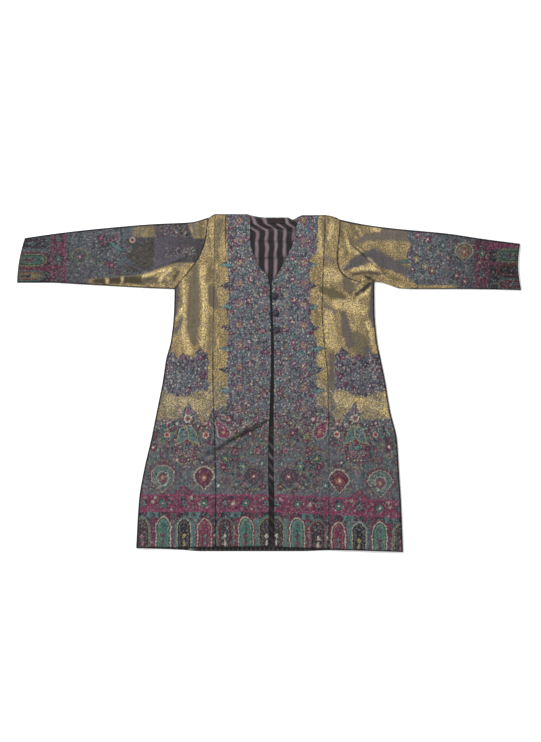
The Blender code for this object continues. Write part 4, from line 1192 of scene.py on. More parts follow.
# Painted highlights and painted shade on the two sleeves' metal cloth, as for the body
SLEEVE_LIGHT_AND_SHADE = (
    ("steel", 0.9, 0.1, (
        (252.0, 396.0, 7.0), (268.0, 406.0, 11.0), (300.0, 411.0, 12.0), (394.0, 410.0, 14.0),
    )),
    ("steel", 0.8, 0.2, ((316.0, 426.0, 6.0), (394.0, 420.0, 9.0))),
    ("warp_and_shade_grey", 0.95, 0.05, (
        (214.0, 320.0, 6.0), (241.0, 336.0, 15.0), (268.0, 350.0, 18.0), (290.0, 355.0, 18.0),
    )),
    ("warp_and_shade_grey", 0.95, 0.05, (
        (290.0, 355.0, 18.0), (322.0, 340.0, 18.0), (355.0, 326.0, 15.0), (392.0, 308.0, 13.0),
    )),
    ("bright", 0.75, 1.0, (
        (232.0, 316.0, 4.0), (262.0, 322.0, 5.0), (300.0, 318.0, 5.0), (318.0, 309.0, 3.0),
    )),
    ("plum", 0.75, 0.1, ((236.0, 306.0, 4.0), (280.0, 308.0, 6.0), (326.0, 306.0, 3.0))),
    ("dark", 0.9, 0.0, ((270.0, 298.0, 4.0), (292.0, 287.0, 5.0))),
    ("dark", 0.75, 0.0, ((236.0, 383.0, 1.0), (274.0, 351.0, 1.6))),
    ("bright", 0.7, 0.5, ((276.0, 350.0, 1.4), (300.0, 329.0, 1.4))),
    ("dark", 0.75, 0.0, ((300.0, 328.0, 1.4), (325.0, 307.0, 2.4))),
    ("olive", 0.6, 0.4, ((202.0, 444.0, 7.0), (208.0, 400.0, 8.0), (214.0, 360.0, 7.0))),
    ("olive", 0.5, 0.4, ((236.0, 440.0, 6.0), (232.0, 400.0, 6.0))),
    ("bright", 0.8, 1.0, ((288.0, 431.0, 5.0), (306.0, 428.0, 5.0))),
    ("olive", 0.6, 0.4, ((334.0, 300.0, 6.0), (366.0, 288.0, 7.0))),
    ("olive", 0.9, 0.2, ((-500.0, 288.0, 14.0), (-430.0, 292.0, 16.0), (-350.0, 290.0, 14.0))),
    ("dark", 0.6, 0.1, (
        (-500.0, 284.0, 7.0), (-430.0, 288.0, 10.0), (-360.0, 288.0, 9.0), (-320.0, 284.0, 7.0),
    )),
    ("olive", 0.6, 0.4, ((-360.0, 300.0, 10.0), (-300.0, 316.0, 10.0), (-262.0, 318.0, 8.0))),
    ("bright", 0.8, 1.0, ((-503.0, 308.0, 3.0), (-499.0, 284.0, 3.0))),
    ("bright", 0.9, 1.0, ((-457.0, 306.0, 3.5), (-452.0, 282.0, 3.0))),
    ("bright", 0.8, 1.0, ((-408.0, 304.0, 3.5), (-412.0, 282.0, 3.0))),
    ("bright", 0.7, 1.0, ((-352.0, 298.0, 5.0), (-300.0, 316.0, 5.0), (-262.0, 330.0, 4.0))),
    ("shade", 0.8, 0.2, ((-350.0, 286.0, 8.0), (-312.0, 290.0, 7.0), (-290.0, 282.0, 6.0))),
    ("bright", 0.8, 1.0, ((-306.0, 290.0, 4.0), (-292.0, 306.0, 5.0), (-276.0, 316.0, 4.0))),
    ("dark", 0.75, 0.0, ((-268.0, 284.0, 4.0), (-256.0, 310.0, 4.0))),
    ("warp_and_shade_grey", 0.8, 0.1, ((-214.0, 450.0, 5.0), (-206.0, 414.0, 5.0))),
    ("olive", 0.7, 0.3, ((-196.0, 452.0, 6.0), (-190.0, 416.0, 9.0))),
    ("shade", 0.7, 0.2, ((-232.0, 348.0, 4.0), (-262.0, 332.0, 6.0), (-290.0, 326.0, 4.0))),
)


# Meshes: the distance between the points of each
CENTRE_STEP, SIDE_STEP, SLEEVE_STEP, BACK_STEP = 1.6, 1.8, 1.95, 3.6


def build_mesh(name, points, faces_shape, weave=None, closed=False):
    """Mesh of a grid of points, rows by columns, with its woven colours."""
    rows, columns = faces_shape
    index = np.arange(rows * columns).reshape(rows, columns)
    if closed:
        index = np.concatenate((index, index[:, :1]), axis=1)
    quads = np.stack((index[:-1, :-1], index[:-1, 1:], index[1:, 1:], index[1:, :-1]), axis=-1).reshape(-1, 4)
    mesh = bpy.data.meshes.new(name)
    mesh.vertices.add(len(points))
    mesh.vertices.foreach_set("co", (points * MM).astype(np.float32).ravel())
    mesh.loops.add(quads.size)
    mesh.loops.foreach_set("vertex_index", quads.astype(np.int32).ravel())
    mesh.polygons.add(len(quads))
    mesh.polygons.foreach_set("loop_start", np.arange(0, quads.size, 4, dtype=np.int32))
    mesh.update(calc_edges=True)
    mesh.validate()
    mesh.shade_smooth()
    if weave is not None:
        tint = mesh.attributes.new("tint", "FLOAT_COLOR", "POINT")
        colours = np.concatenate((weave.tint, np.ones((len(weave.tint), 1))), axis=1)
        tint.data.foreach_set("color", colours.astype(np.float32).ravel())
        metal = mesh.attributes.new("metal", "FLOAT", "POINT")
        metal.data.foreach_set("value", weave.metal.astype(np.float32))
    return mesh


def add_piece(name, mesh, material, node):
    """Put a mesh in the scene as the look of one node."""
    piece = bpy.data.objects.new(name, mesh)
    bpy.context.scene.collection.objects.link(piece)
    mesh.materials.append(material)
    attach(piece, "root")
    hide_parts(node)
    return piece


# The turn of an edge: distance in from the edge, depth below the outer face
EDGE_TURN = (
    (11.0, 1.6), (3.0, 1.6), (0.9, 1.58), (0.25, 1.3),
    (0.0, 0.85), (0.12, 0.45), (0.5, 0.15), (1.2, 0.02),
)
TURN_INSET, TURN_DEPTH = np.array(EDGE_TURN).T
EDGE_MARGIN = 2.0         # the even steps of a panel start this far in from its edges


def turned_steps(length, step):
    """Places from one edge to the other and their depth, with both edges turned under."""
    count = int((length - 2 * EDGE_MARGIN) / step)
    middle = np.linspace(EDGE_MARGIN, length - EDGE_MARGIN, count)
    places = np.concatenate((TURN_INSET, middle, length - TURN_INSET[::-1]))
    return places, np.concatenate((TURN_DEPTH, np.zeros(count), TURN_DEPTH[::-1]))


def slopes(height, x, y):
    """Slope of a grid of heights in X and in Y."""
    along_row = np.gradient(height, axis=1) / np.maximum(np.abs(np.gradient(x, axis=1)), 0.3)
    along_column = np.gradient(height, axis=0) / np.maximum(np.abs(np.gradient(y, axis=0)), 0.3)
    return np.clip(along_row, -1, 1), np.clip(along_column, -1, 1)


def dark_seam_and_shade_line(weave, distance, half, strength=0.9, softness=1.8):
    """Dark line, a little uneven in width: dark seams and edges, partly painted shade along turned edges, and
    painted shade along creases.
    """
    uneven = 0.7 * softness / 1.8 * ripple(weave.x, weave.y, 26.0, 12)
    weave.lay(strength * inside(distance - half - uneven, softness), "dark", 0.0)


# Dark lines on the right front down the upper chest, and painted shade along the diagonal crease of its lower
# part: strength, softness, then X, Y and half width along each
CHEST_LINES_AND_CREASE_SHADE = (
    (0.75, 1.8, ((-121.5, 470.0, 2.2), (-121.0, 420.0, 2.2), (-122.0, 376.0, 0.8))),
    (0.75, 1.8, ((-117.5, 214.0, 1.6), (-116.5, 184.0, 1.6))),
    (0.55, 9.0, ((-8.0, -108.0, 4.0), (-52.0, -132.0, 8.0), (-108.0, -162.0, 4.0), (-152.0, -192.0, 7.0))),
    (0.5, 2.5, ((-20.0, -118.0, 1.0), (-70.0, -144.0, 2.0), (-120.0, -168.0, 1.0), (-160.0, -198.0, 1.5))),
    (0.35, 9.0, ((-152.0, -192.0, 6.0), (-196.0, -216.0, 3.0))),
)


def body_rows(step):
    """Heights of the rows of a body panel, its hem and shoulder turned under, and their depth."""
    places, depth = turned_steps(BODY_LENGTH, step)
    heights = np.where(
        places < BODY_HEIGHT, places / BODY_HEIGHT, 1.0 + (places - BODY_HEIGHT) / ARMHOLE_HEIGHT
    )
    return heights, depth


def panel_grid(first, second, step):
    """Grid of a body panel between two seams.

    Gives the heights of its rows, the share across, each row's width, X, Y and the depth of the turned edges.
    """
    heights, row_depth = body_rows(step)
    start = beside_seam(first, heights, GAP / 2)
    end = beside_seam(second, heights, -GAP / 2)
    width = np.linalg.norm(end - start, axis=1)[:, None]
    places, column_depth = turned_steps(width.max(), step)
    turned = len(EDGE_TURN)
    share = (places[turned:-turned] - places[turned]) / (places[-turned - 1] - places[turned])
    inner = EDGE_MARGIN + share[None, :] * (width - 2 * EDGE_MARGIN)
    ends = TURN_INSET[None, :] * np.ones_like(width)
    across = np.concatenate((ends, inner, width - ends[:, ::-1]), axis=1) / width
    x = mix(start[:, :1], end[:, :1], across)
    y = mix(start[:, 1:], end[:, 1:], across)
    return heights, across, width, x, y, np.maximum(row_depth[:, None], column_depth[None, :])


def front_panel(name, first, second, step):
    """Front from one seam to the next, with its folds, pattern and seams."""
    heights, across, width, x, y, depth = panel_grid(first, second, step)
    to_first = np.abs(x - through(SEAM_ROWS, 1 + first, y))
    to_second = np.abs(x - through(SEAM_ROWS, 1 + second, y))
    top = front_top(x, y, np.minimum(to_first, to_second))
    slope_x, slope_y = slopes(top, x, y)
    weave = Weave(x.ravel(), y.ravel())
    body_pattern(weave)
    # Painted highlights and painted shade on the metal cloth
    paint_metal_light_and_shade(weave, BODY_LIGHT_AND_SHADE, slope_x.ravel(), slope_y.ravel(), 1.0, 15)
    hem = (heights[:, None] * BODY_HEIGHT) * np.ones_like(x)
    shoulder = (2.0 - heights[:, None]) * ARMHOLE_HEIGHT * np.ones_like(x)
    # Dark lines at the hem, shoulders, sides, front edges and princess seams, partly painted shade along the
    # turned edges and beside the seams
    dark_seam_and_shade_line(weave, np.minimum(hem, shoulder).ravel(), 1.6)
    for which, distance in ((first, across * width), (second, (1.0 - across) * width)):
        if which in (RIGHT_SIDE, LEFT_SIDE):
            reach = np.where(heights[:, None] < 1.02, 4.8, np.where(heights[:, None] < 1.5, 2.4, 1.2))
            dark_seam_and_shade_line(weave, (distance - reach).ravel(), 0.0)
        elif which == RIGHT_PRINCESS:
            dark_seam_and_shade_line(weave, distance.ravel(), 1.4, mix(0.85, 0.3, smooth((y.ravel() - 60.0) / 60.0)))
        elif which == LEFT_PRINCESS:
            dark_seam_and_shade_line(weave, distance.ravel(), 0.9, mix(0.35, 0.9, smooth((y.ravel() + 130.0) / 50.0)))
        else:
            dark_seam_and_shade_line(weave, distance.ravel(), -0.4)
    # Dark lines down the upper chest, and painted shade along the crease below
    if RIGHT_PRINCESS in (first, second):
        for strength, softness, points in CHEST_LINES_AND_CREASE_SHADE:
            dark_seam_and_shade_line(weave, along_line(weave.x, weave.y, points), 0.0, strength, softness)
    dark_seam_and_shade_line(weave, hem.ravel(), 4.0)
    points = np.stack((x, y, top - depth), axis=-1).reshape(-1, 3)
    mesh = build_mesh(name, points, x.shape, weave)
    piece = add_piece(f"{name}_cloth", mesh, shawl_cloth, name)


def off_chord(rows, across):
    """How far a curved edge lies above the straight line between its ends."""
    (first_x, first_y), (last_x, last_y) = rows[0], rows[-1]
    return through(rows, 1, mix(first_x, last_x, across)) - mix(first_y, last_y, across)


def turned_over(weave, shape):
    """Reverse the columns of a weave, for a mesh whose faces look the other way."""
    weave.tint = weave.tint.reshape(*shape, 3)[:, ::-1].reshape(-1, 3)
    weave.metal = weave.metal.reshape(shape)[:, ::-1].ravel()


def back_panel():
    """Whole back, seen at the neck and the hem and from below, with the fronts' pattern carried across."""
    heights, across, width, x, y, depth = panel_grid(RIGHT_SIDE, LEFT_SIDE, BACK_STEP)
    height = heights[:, None] * np.ones_like(across)
    y = y + np.where(
        height > 1.0,
        off_chord(BACK_TOP, across) * np.clip(height - 1.0, 0, 1) ** 2,
        off_chord(BACK_HEM, across) * np.clip(1.0 - height, 0, 1) ** 4,
    )
    y = y - ROW_SAG * np.sin(np.pi * across) * np.exp(-(((height - 1.0) / ROW_SAG_REACH) ** 2))
    hollow = np.clip(0.25 * ripple(x, y, 130.0, 8) - ridges(BACK_CREASES, x, y), 0.0, 0.9)
    border = np.minimum(np.minimum(across, 1.0 - across) * width, (heights * BODY_HEIGHT)[:, None])
    hollow *= smooth(border / 20.0)
    weave = Weave(x.ravel(), y.ravel())
    body_pattern(weave)
    slope_x, slope_y = slopes(hollow, x, y)
    # Painted highlights and shade on the metal cloth, then a dark line round the back's edges, partly painted
    # shade
    paint_metal_light_and_shade(weave, BACK_LIGHT_AND_SHADE, slope_x.ravel(), slope_y.ravel(), 1.0, 25)
    dark_seam_and_shade_line(weave, border.ravel(), 2.6)
    points = np.stack((x, y, np.minimum(hollow + depth, WALL)), axis=-1)[:, ::-1].reshape(-1, 3)
    turned_over(weave, x.shape)
    mesh = build_mesh("back", points, x.shape, weave)
    piece = add_piece("back_cloth", mesh, shawl_cloth, "back")


# Shallow hollows under the back, which stays flat between them
BACK_CREASES = (
    (-210.0, 300.0, -230.0, 60.0, 14.0, -0.8),
    (-90.0, 240.0, -110.0, -120.0, 16.0, -0.7),
    (40.0, 380.0, 30.0, 120.0, 15.0, -0.7),
    (170.0, 250.0, 240.0, 20.0, 16.0, -0.8),
    (-300.0, -80.0, -320.0, -400.0, 18.0, -0.8),
    (-150.0, -150.0, -170.0, -430.0, 16.0, -0.7),
    (60.0, -60.0, 80.0, -400.0, 18.0, -0.8),
    (250.0, -90.0, 290.0, -430.0, 18.0, -0.8),
    (-240.0, 200.0, -120.0, 330.0, 12.0, -0.6),
    (140.0, 360.0, 260.0, 250.0, 12.0, -0.7),
)


# Painted highlights and painted shade on the back's metal cloth, as for the fronts
BACK_LIGHT_AND_SHADE = (
    ("shade", 0.8, 0.3, ((-200.0, 330.0, 10.0), (-214.0, 120.0, 18.0))),
    ("bright", 0.6, 1.0, ((-240.0, 300.0, 8.0), (-236.0, 110.0, 8.0))),
    ("shade", 0.8, 0.3, ((176.0, 350.0, 12.0), (210.0, 240.0, 16.0), (206.0, 110.0, 12.0))),
    ("bright", 0.6, 1.0, ((240.0, 290.0, 9.0), (256.0, 110.0, 9.0))),
    ("warp_and_shade_grey", 0.7, 0.2, ((284.0, 250.0, 6.0), (286.0, 100.0, 8.0))),
)


def flat_grid(columns, rows):
    """Across and up shares of a grid, in rows."""
    across = np.linspace(0.0, 1.0, columns)[None, :] * np.ones((rows, 1))
    up = np.linspace(0.0, 1.0, rows)[:, None] * np.ones((1, columns))
    return across, up


LINING_TOP = WALL + GAP + LINING_WALL
STRIPE_PITCH, STRIPE_CREST = 26.2, -7.8
LINING_COLUMNS = 70


def stripe_place(x, y):
    """Where each point lies across the stripes, which bend with the cloth. A whole number is a pale crest."""
    place = x - STRIPE_CREST + 1.6 * ripple(x, y, 90.0, 18) + 1.8 * ripple(0.4 * x, y, 44.0, 19)
    place = place + 1.35 * np.maximum(y - 428.0 - 0.1 * x, 0.0) - 0.9 * np.maximum(y - 446.0, 0.0)
    place = place + 0.9 * (y + 190.0) * smooth((-120.0 - y) / 20.0)
    at_hem = smooth((-448.0 - y) / 8.0)
    return mix(place, 2.1 * x, at_hem) / STRIPE_PITCH


def lining_light(x, y):
    """Painted light and shade on the lining, which its material multiplies into the stripes: painted shade in
    the slit, on its fold lines and along the fronts' edges at the neck and the slit, lighter bands low in the
    slit and at the hem, and some random tone.
    """
    light = 1.0 - 0.8 * smooth((285.0 - y) / 30.0)
    light = light + 0.75 * np.exp(-(((y + 200.0) / 24.0) ** 2)) + 0.6 * np.exp(-(((y + 260.0) / 16.0) ** 2))
    light = light + 0.25 * smooth((-448.0 - y) / 8.0)
    for level, slope, half in ((397.0, -0.03, 3.5), (350.0, 0.02, 3.0), (437.0, -0.1, 3.0)):
        light = light - 0.45 * np.exp(-(((y - level - slope * x) / half) ** 2))
    light = light + 0.18 * ripple(x, y, 60.0, 14)
    to_edge = np.minimum(x - through(SEAM_ROWS, 1 + RIGHT_EDGE, y), through(SEAM_ROWS, 1 + LEFT_EDGE, y) - x)
    return np.clip(light * mix(0.5, 1.0, smooth(to_edge / 12.0)), 0.08, 1.15)


def lining_sheet(name, x, y):
    """Lining or facing: a smooth sheet with soft creases.

    Its tint is the light on it and its metal the place across the stripes, as its material reads them.
    """
    across_edge = np.minimum(np.arange(x.shape[1]), np.arange(x.shape[1])[::-1])[None, :]
    along_edge = np.minimum(np.arange(x.shape[0]), np.arange(x.shape[0])[::-1])[:, None]
    edge = np.minimum(across_edge, along_edge)
    sink = np.where(edge == 0, LINING_WALL, np.where(edge == 1, 0.25, 0.0))
    inner = smooth((edge - 1) / 4.0)
    z = LINING_TOP - sink + np.clip(ridges(LINING_CREASES, x, y, 1.0), 0.0, 0.6) * inner
    weave = Weave(x.ravel(), y.ravel())
    weave.tint[:] = lining_light(x, y).ravel()[:, None]
    weave.metal = stripe_place(x, y).ravel()
    points = np.stack((x, y, z), axis=-1).reshape(-1, 3)
    mesh = build_mesh(name, points, x.shape, weave)
    piece = add_piece(f"{name}_cloth", mesh, striped_lining, name)


def lining_panel():
    """Back lining, from the hem to the neck facing."""
    across, up = flat_grid(LINING_COLUMNS, 240)
    bottom, highest = LINING_ROWS[0][0], LINING_ROWS[-1][0]
    level = mix(bottom, highest, up)
    x = mix(through(LINING_ROWS, 1, level), through(LINING_ROWS, 2, level), across)
    y = mix(bottom, through(FACING_SEAM, 1, x) - GAP, up)
    lining_sheet("lining_back", x, y)


def facing_panel():
    """Neck facing, from its curved seam up to the neck's edge."""
    across, up = flat_grid(LINING_COLUMNS, 20)
    x = mix(FACING_SEAM[0][0], FACING_SEAM[-1][0], across)
    y = mix(through(FACING_SEAM, 1, x), through(BACK_TOP, 1, x) - FACING_TOP_DROP, up)
    lining_sheet("neck_facing", x, y)


LABEL_CENTRE, LABEL_SIZE = (20.0, 454.0), (50.0, 15.0)
LABEL_TURN = 3.0          # turned under at each edge
LABEL_STEP = 0.8


def neck_label():
    """Bare woven ribbon, sewn down at both ends and slightly lifted between."""
    places, column_depth = turned_steps(LABEL_SIZE[0], LABEL_STEP)
    levels, row_depth = turned_steps(LABEL_SIZE[1], LABEL_STEP)
    keep_x = (column_depth < 1.5) | (np.minimum(places, LABEL_SIZE[0] - places) <= LABEL_TURN)
    keep_y = (row_depth < 1.5) | (np.minimum(levels, LABEL_SIZE[1] - levels) <= LABEL_TURN)
    places, column_depth = places[keep_x], column_depth[keep_x]
    levels, row_depth = levels[keep_y], row_depth[keep_y]
    x = LABEL_CENTRE[0] + (places - LABEL_SIZE[0] / 2)[None, :] * np.ones((len(levels), 1))
    y = LABEL_CENTRE[1] + (levels - LABEL_SIZE[1] / 2)[:, None] * np.ones((1, len(places)))
    bulge = 0.35 * np.sin(np.pi * places / LABEL_SIZE[0])[None, :] * np.ones_like(x)
    depth = 0.55 * np.maximum(row_depth[:, None], column_depth[None, :])
    z = LINING_TOP + GAP + LINING_WALL + bulge - depth
    points = np.stack((x, y, z), axis=-1).reshape(-1, 3)
    mesh = build_mesh("neck_label", points, x.shape)
    piece = add_piece("neck_label_ribbon", mesh, label_ribbon, "neck_label")


def sleeve_plan(side, ring, across):
    """Points of a sleeve in plan: ring 0 is the armhole and 1 the cuff."""
    rows = SLEEVE_EDGES[side]
    upper = np.stack((through(rows, 1, ring), through(rows, 2, ring)), axis=-1)
    lower = np.stack((through(rows, 3, ring), through(rows, 4, ring)), axis=-1)
    straight = mix(upper, lower, across[..., None])
    top, low = armhole(side, np.zeros(1)), armhole(side, np.ones(1))
    bow = armhole(side, across) - mix(top, low, across[..., None])
    points = straight + bow * ((1.0 - ring) ** BOW_FADE)[..., None]
    points[..., 0] += CUFF_BOW[side] * np.sin(np.pi * across) * ring**4
    return points


SLEEVE_LENGTH = 520.0
SLEEVE_BREADTH = 205.0    # across the flattened tube, which sets how many columns its top has
FLOOR_COLUMNS = 44
CUFF_RUN, HEAD_RUN = 24.0, 8.0   # cloth that runs on inside the cuff and under the armhole seam

# The roll of a sleeve's long edges: distance in from the edge, share of the way up from the floor
EDGE_ROLL = (
    (1.75, 1.0), (1.0, 0.93), (0.45, 0.8), (0.12, 0.65), (0.0, 0.5),
    (0.12, 0.35), (0.45, 0.2), (1.0, 0.07), (1.75, 0.0),
)


def sleeve(name, side, pattern):
    """Flattened tube with rolled edges, its cuff and head turned in."""
    outward = -1.0 if side == RIGHT_SIDE else 1.0
    count = int(SLEEVE_LENGTH / SLEEVE_STEP)
    middle = np.linspace(EDGE_MARGIN, SLEEVE_LENGTH - EDGE_MARGIN, count)
    along = np.concatenate((TURN_INSET, middle, SLEEVE_LENGTH - TURN_INSET[::-1]))
    sink = np.concatenate((TURN_DEPTH, np.zeros(count), TURN_DEPTH[::-1]))
    along[0] = HEAD_RUN
    along[-1] = SLEEVE_LENGTH - CUFF_RUN
    ring = along / SLEEVE_LENGTH
    top_columns = int(SLEEVE_BREADTH / SLEEVE_STEP)
    roll_in, roll_up = np.array(EDGE_ROLL).T
    edge_width = np.linalg.norm(
        sleeve_plan(side, ring, np.zeros_like(ring)) - sleeve_plan(side, ring, np.ones_like(ring)), axis=-1
    )[:, None]
    roll_in = roll_in[None, :] + 0.6 * sink[:, None]
    first = roll_in[:, ::-1] / edge_width
    inner_top = mix(first[:, -1:], 1.0 - first[:, -1:], np.linspace(0, 1, top_columns + 2)[None, 1:-1])
    inner_floor = mix(1.0 - first[:, -1:], first[:, -1:], np.linspace(0, 1, FLOOR_COLUMNS + 2)[None, 1:-1])
    across = np.concatenate((first, inner_top, 1.0 - first[:, ::-1], inner_floor), axis=1)
    level = np.concatenate((roll_up[::-1], np.ones(top_columns), roll_up, np.zeros(FLOOR_COLUMNS)))
    ring_grid = ring[:, None] * np.ones_like(across)
    plan = sleeve_plan(side, ring_grid, across)
    plan[..., 0] += outward * GAP * (1.0 - ring_grid) ** 8
    x, y = plan[..., 0], plan[..., 1]
    from_edge = np.minimum(across, 1.0 - across) * edge_width
    pull = 1.0 - np.exp(-((from_edge / SEAM_REACH) ** 2))
    pull = pull * mix(0.4, 1.0, smooth(ring_grid / 0.05))
    lift = lifted(PANEL_LOFT * pull + fold_lift(x, y) * mix(FOLD_AT_SEAM, 1.0, pull))
    crease = (ridges(CREASES, x, y) + 0.25 * ripple(x, y, 60.0, 5)) * mix(0.35, 1.0, pull)
    top = WALL + GAP + lift + wall_at(lift) + crease
    floor = np.clip(0.4 * ripple(x, y, 90.0, 6), 0.0, 0.5) * smooth(from_edge / 14.0)
    z = mix(floor + sink[:, None] * 0.9, top - sink[:, None], level[None, :])
    slope_x, slope_y = slopes(top, x, y)
    upper = (level > 0.3)[None, :] * np.ones_like(x)
    weave = Weave(x.ravel(), y.ravel())
    pattern(weave)
    # Painted highlights and shade on the metal cloth, then dark lines at the cuff, the head and the rolled
    # long edges, partly painted shade
    paint_metal_light_and_shade(weave, SLEEVE_LIGHT_AND_SHADE, (slope_x * upper).ravel(), (slope_y * upper).ravel(), 0.45, 35)
    dark_seam_and_shade_line(weave, (SLEEVE_LENGTH * (1.0 - ring_grid)).ravel(), 3.6)
    dark_seam_and_shade_line(weave, (SLEEVE_LENGTH * ring_grid).ravel(), 1.6)
    dark_seam_and_shade_line(weave, np.where(across < 0.5, from_edge, from_edge + 1.5).ravel(), 5.0)
    if outward > 0:
        x, y, z = x[:, ::-1], y[:, ::-1], z[:, ::-1]
        turned_over(weave, x.shape)
    points = np.stack((x, y, z), axis=-1).reshape(-1, 3)
    mesh = build_mesh(name, points, x.shape, weave, closed=True)
    piece = add_piece(f"{name}_cloth", mesh, shawl_cloth, name)


BUTTONS = ((14.5, 242.5), (19.0, 195.5), (21.5, 147.5))
BUTTON_SIDES, BUTTON_RINGS = 56, 16


def covered_button(number):
    """Cloth drawn over a dome and gathered under its rim."""
    low, high = (np.array(corner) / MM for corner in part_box(f"button_{number}"))
    centre = (low + high) / 2
    radius = (high[0] - low[0]) / 2
    height = high[2] - low[2]
    profile = []
    for step in range(BUTTON_RINGS + 1):
        turn = step / BUTTON_RINGS * math.pi * 0.5
        profile.append((radius * math.sin(turn), height * (0.52 + 0.48 * math.cos(turn))))
    profile += [
        (radius * 0.995, height * 0.42),
        (radius * 0.95, height * 0.3),
        (radius * 0.82, height * 0.22),
        (radius * 0.6, height * 0.2),
        (radius * 0.56, height * 0.1),
        (radius * 0.56, 0.0),
    ]
    turns = np.linspace(0.0, math.tau, BUTTON_SIDES, endpoint=False)
    points = []
    for index, (ring_radius, level) in enumerate(profile):
        gather = 0.035 * smooth((index - BUTTON_RINGS * 0.55) / (BUTTON_RINGS * 0.5))
        wave = 1.0 + gather * np.cos(14 * turns + 0.6 * np.sin(3 * turns))
        dimple = 0.05 * np.cos(2 * turns + number) * math.sin(min(index / BUTTON_RINGS, 1.0) * math.pi)
        ring_x = centre[0] + max(ring_radius, 0.02) * wave * np.cos(turns)
        ring_y = centre[1] + max(ring_radius, 0.02) * wave * np.sin(turns)
        points.append(np.stack((ring_x, ring_y, low[2] + level + dimple), axis=-1))
    points = np.array(points)
    mesh = build_mesh(f"button_{number}", points.reshape(-1, 3), points.shape[:2], closed=True)
    add_piece(f"button_{number}_cover", mesh, covered_button_cloth, f"button_{number}")


LOOP_THICKNESS = 2.0
LOOP_OPENING = 35.0       # half angle of the part of the ring that is left open
LOOP_ROOT_SPREAD, LOOP_THROAT_SPREAD = 2.2, 3.4
CORD_SIDES, CORD_STEPS, CORD_PLIES = 18, 150, 2


def cord_loop(number):
    """Twisted cord round a button, its two ends sewn under the right front edge."""
    button_x, button_y = BUTTONS[number - 1]
    low, high = (np.array(corner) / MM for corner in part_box(f"loop_{number}"))
    level = (low[2] + high[2]) / 2
    radius = high[0] - button_x - LOOP_THICKNESS / 2
    widest = math.radians(180.0 - LOOP_OPENING)
    root_x = low[0]
    throat_x = (root_x + button_x - radius) / 2
    corners = [(root_x, button_y + LOOP_ROOT_SPREAD), (throat_x, button_y + LOOP_THROAT_SPREAD)]
    for turn in np.linspace(widest, -widest, 24):
        corners.append((button_x + radius * math.cos(turn), button_y + radius * math.sin(turn)))
    corners += [(throat_x, button_y - LOOP_THROAT_SPREAD), (root_x, button_y - LOOP_ROOT_SPREAD)]
    corners = np.array(corners)
    walked = np.concatenate(([0.0], np.cumsum(np.linalg.norm(np.diff(corners, axis=0), axis=1))))
    places = np.linspace(0.0, walked[-1], CORD_STEPS)
    x, y = np.interp(places, walked, corners[:, 0]), np.interp(places, walked, corners[:, 1])
    for _ in range(6):
        x[1:-1] = (x[:-2] + x[1:-1] * 2 + x[2:]) / 4
        y[1:-1] = (y[:-2] + y[1:-1] * 2 + y[2:]) / 4
    along = np.stack((np.gradient(x), np.gradient(y)), axis=-1)
    along /= np.linalg.norm(along, axis=1, keepdims=True)
    turns = np.linspace(0.0, math.tau, CORD_SIDES, endpoint=False)
    twist = places[:, None] * 1.5
    thick = LOOP_THICKNESS / 2 * (1.0 + 0.1 * np.cos(CORD_PLIES * (turns[None, :] - twist)))
    out = thick * np.cos(turns)[None, :]
    ring_x = x[:, None] + along[:, 1:] * out
    ring_y = y[:, None] - along[:, :1] * out
    ring_z = level + thick * np.sin(turns)[None, :]
    points = np.stack((ring_x, ring_y, ring_z), axis=-1)
    for end in (0, -1):
        points[end] = mix(points[end].mean(axis=0), points[end], 0.05)
    mesh = build_mesh(f"loop_{number}", points.reshape(-1, 3), points.shape[:2], closed=True)
    add_piece(f"loop_{number}_cord", mesh, loop_cord, f"loop_{number}")


# Materials


def add_node(tree, kind, links=(), **settings):
    """New shader node: links gives its inputs, as values or as other nodes' outputs."""
    node = tree.nodes.new(kind)
    for name, value in settings.items():
        setattr(node, name, value)
    for name, value in dict(links).items():
        if isinstance(value, bpy.types.NodeSocket):
            tree.links.new(value, node.inputs[name])
        else:
            node.inputs[name].default_value = value
    return node


def new_material(name, **constants):
    """Material with its shader's constants set, its node tree and its shader."""
    material = bpy.data.materials.new(name)
    material.use_nodes = True
    tree = material.node_tree
    shader = tree.nodes["Principled BSDF"]
    for socket, value in constants.items():
        shader.inputs[socket.replace("_", " ")].default_value = value
    return material, tree, shader


def math_node(tree, operation, first, second=0.0, third=0.0):
    return add_node(tree, "ShaderNodeMath", {0: first, 1: second, 2: third}, operation=operation).outputs[0]


def stretched_noise(tree, place, scale, detail, roughness=0.5):
    """Noise whose grain is set by how many times it repeats in a metre along X, Y and Z."""
    spread = add_node(tree, "ShaderNodeMapping", {"Vector": place, "Scale": scale})
    links = {"Vector": spread.outputs[0], "Scale": 1.0, "Detail": detail, "Roughness": roughness}
    return add_node(tree, "ShaderNodeTexNoise", links).outputs["Fac"]


def twill(tree, place, pitch, slant):
    """Diagonal ribs of a twill, from 0 to 1, at a pitch in metres."""
    parts = add_node(tree, "ShaderNodeSeparateXYZ", {0: place})
    lean = math_node(tree, "MULTIPLY_ADD", parts.outputs[1], slant, parts.outputs[0])
    turns = math_node(tree, "MULTIPLY", lean, math.tau / pitch)
    wave = math_node(tree, "SINE", turns)
    return math_node(tree, "MULTIPLY_ADD", wave, 0.5, 0.5)


def read_attribute(tree, name, output):
    """Value that the mesh carries at each point."""
    return add_node(tree, "ShaderNodeAttribute", attribute_name=name).outputs[output]


def about_middle(tree, value, gain):
    """A value from 0 to 1, counted from its middle and times a gain."""
    return math_node(tree, "MULTIPLY", math_node(tree, "SUBTRACT", value, 0.5), gain)


def mixed(tree, share, first, second):
    """Mix of two colours."""
    links = {"Factor": share, 6: first, 7: second}
    return add_node(tree, "ShaderNodeMix", links, data_type="RGBA").outputs[2]


def times(tree, colour, gains):
    """Colour with a gain for each of red, green and blue."""
    return add_node(tree, "ShaderNodeVectorMath", {0: colour, 1: gains}, operation="MULTIPLY").outputs[0]


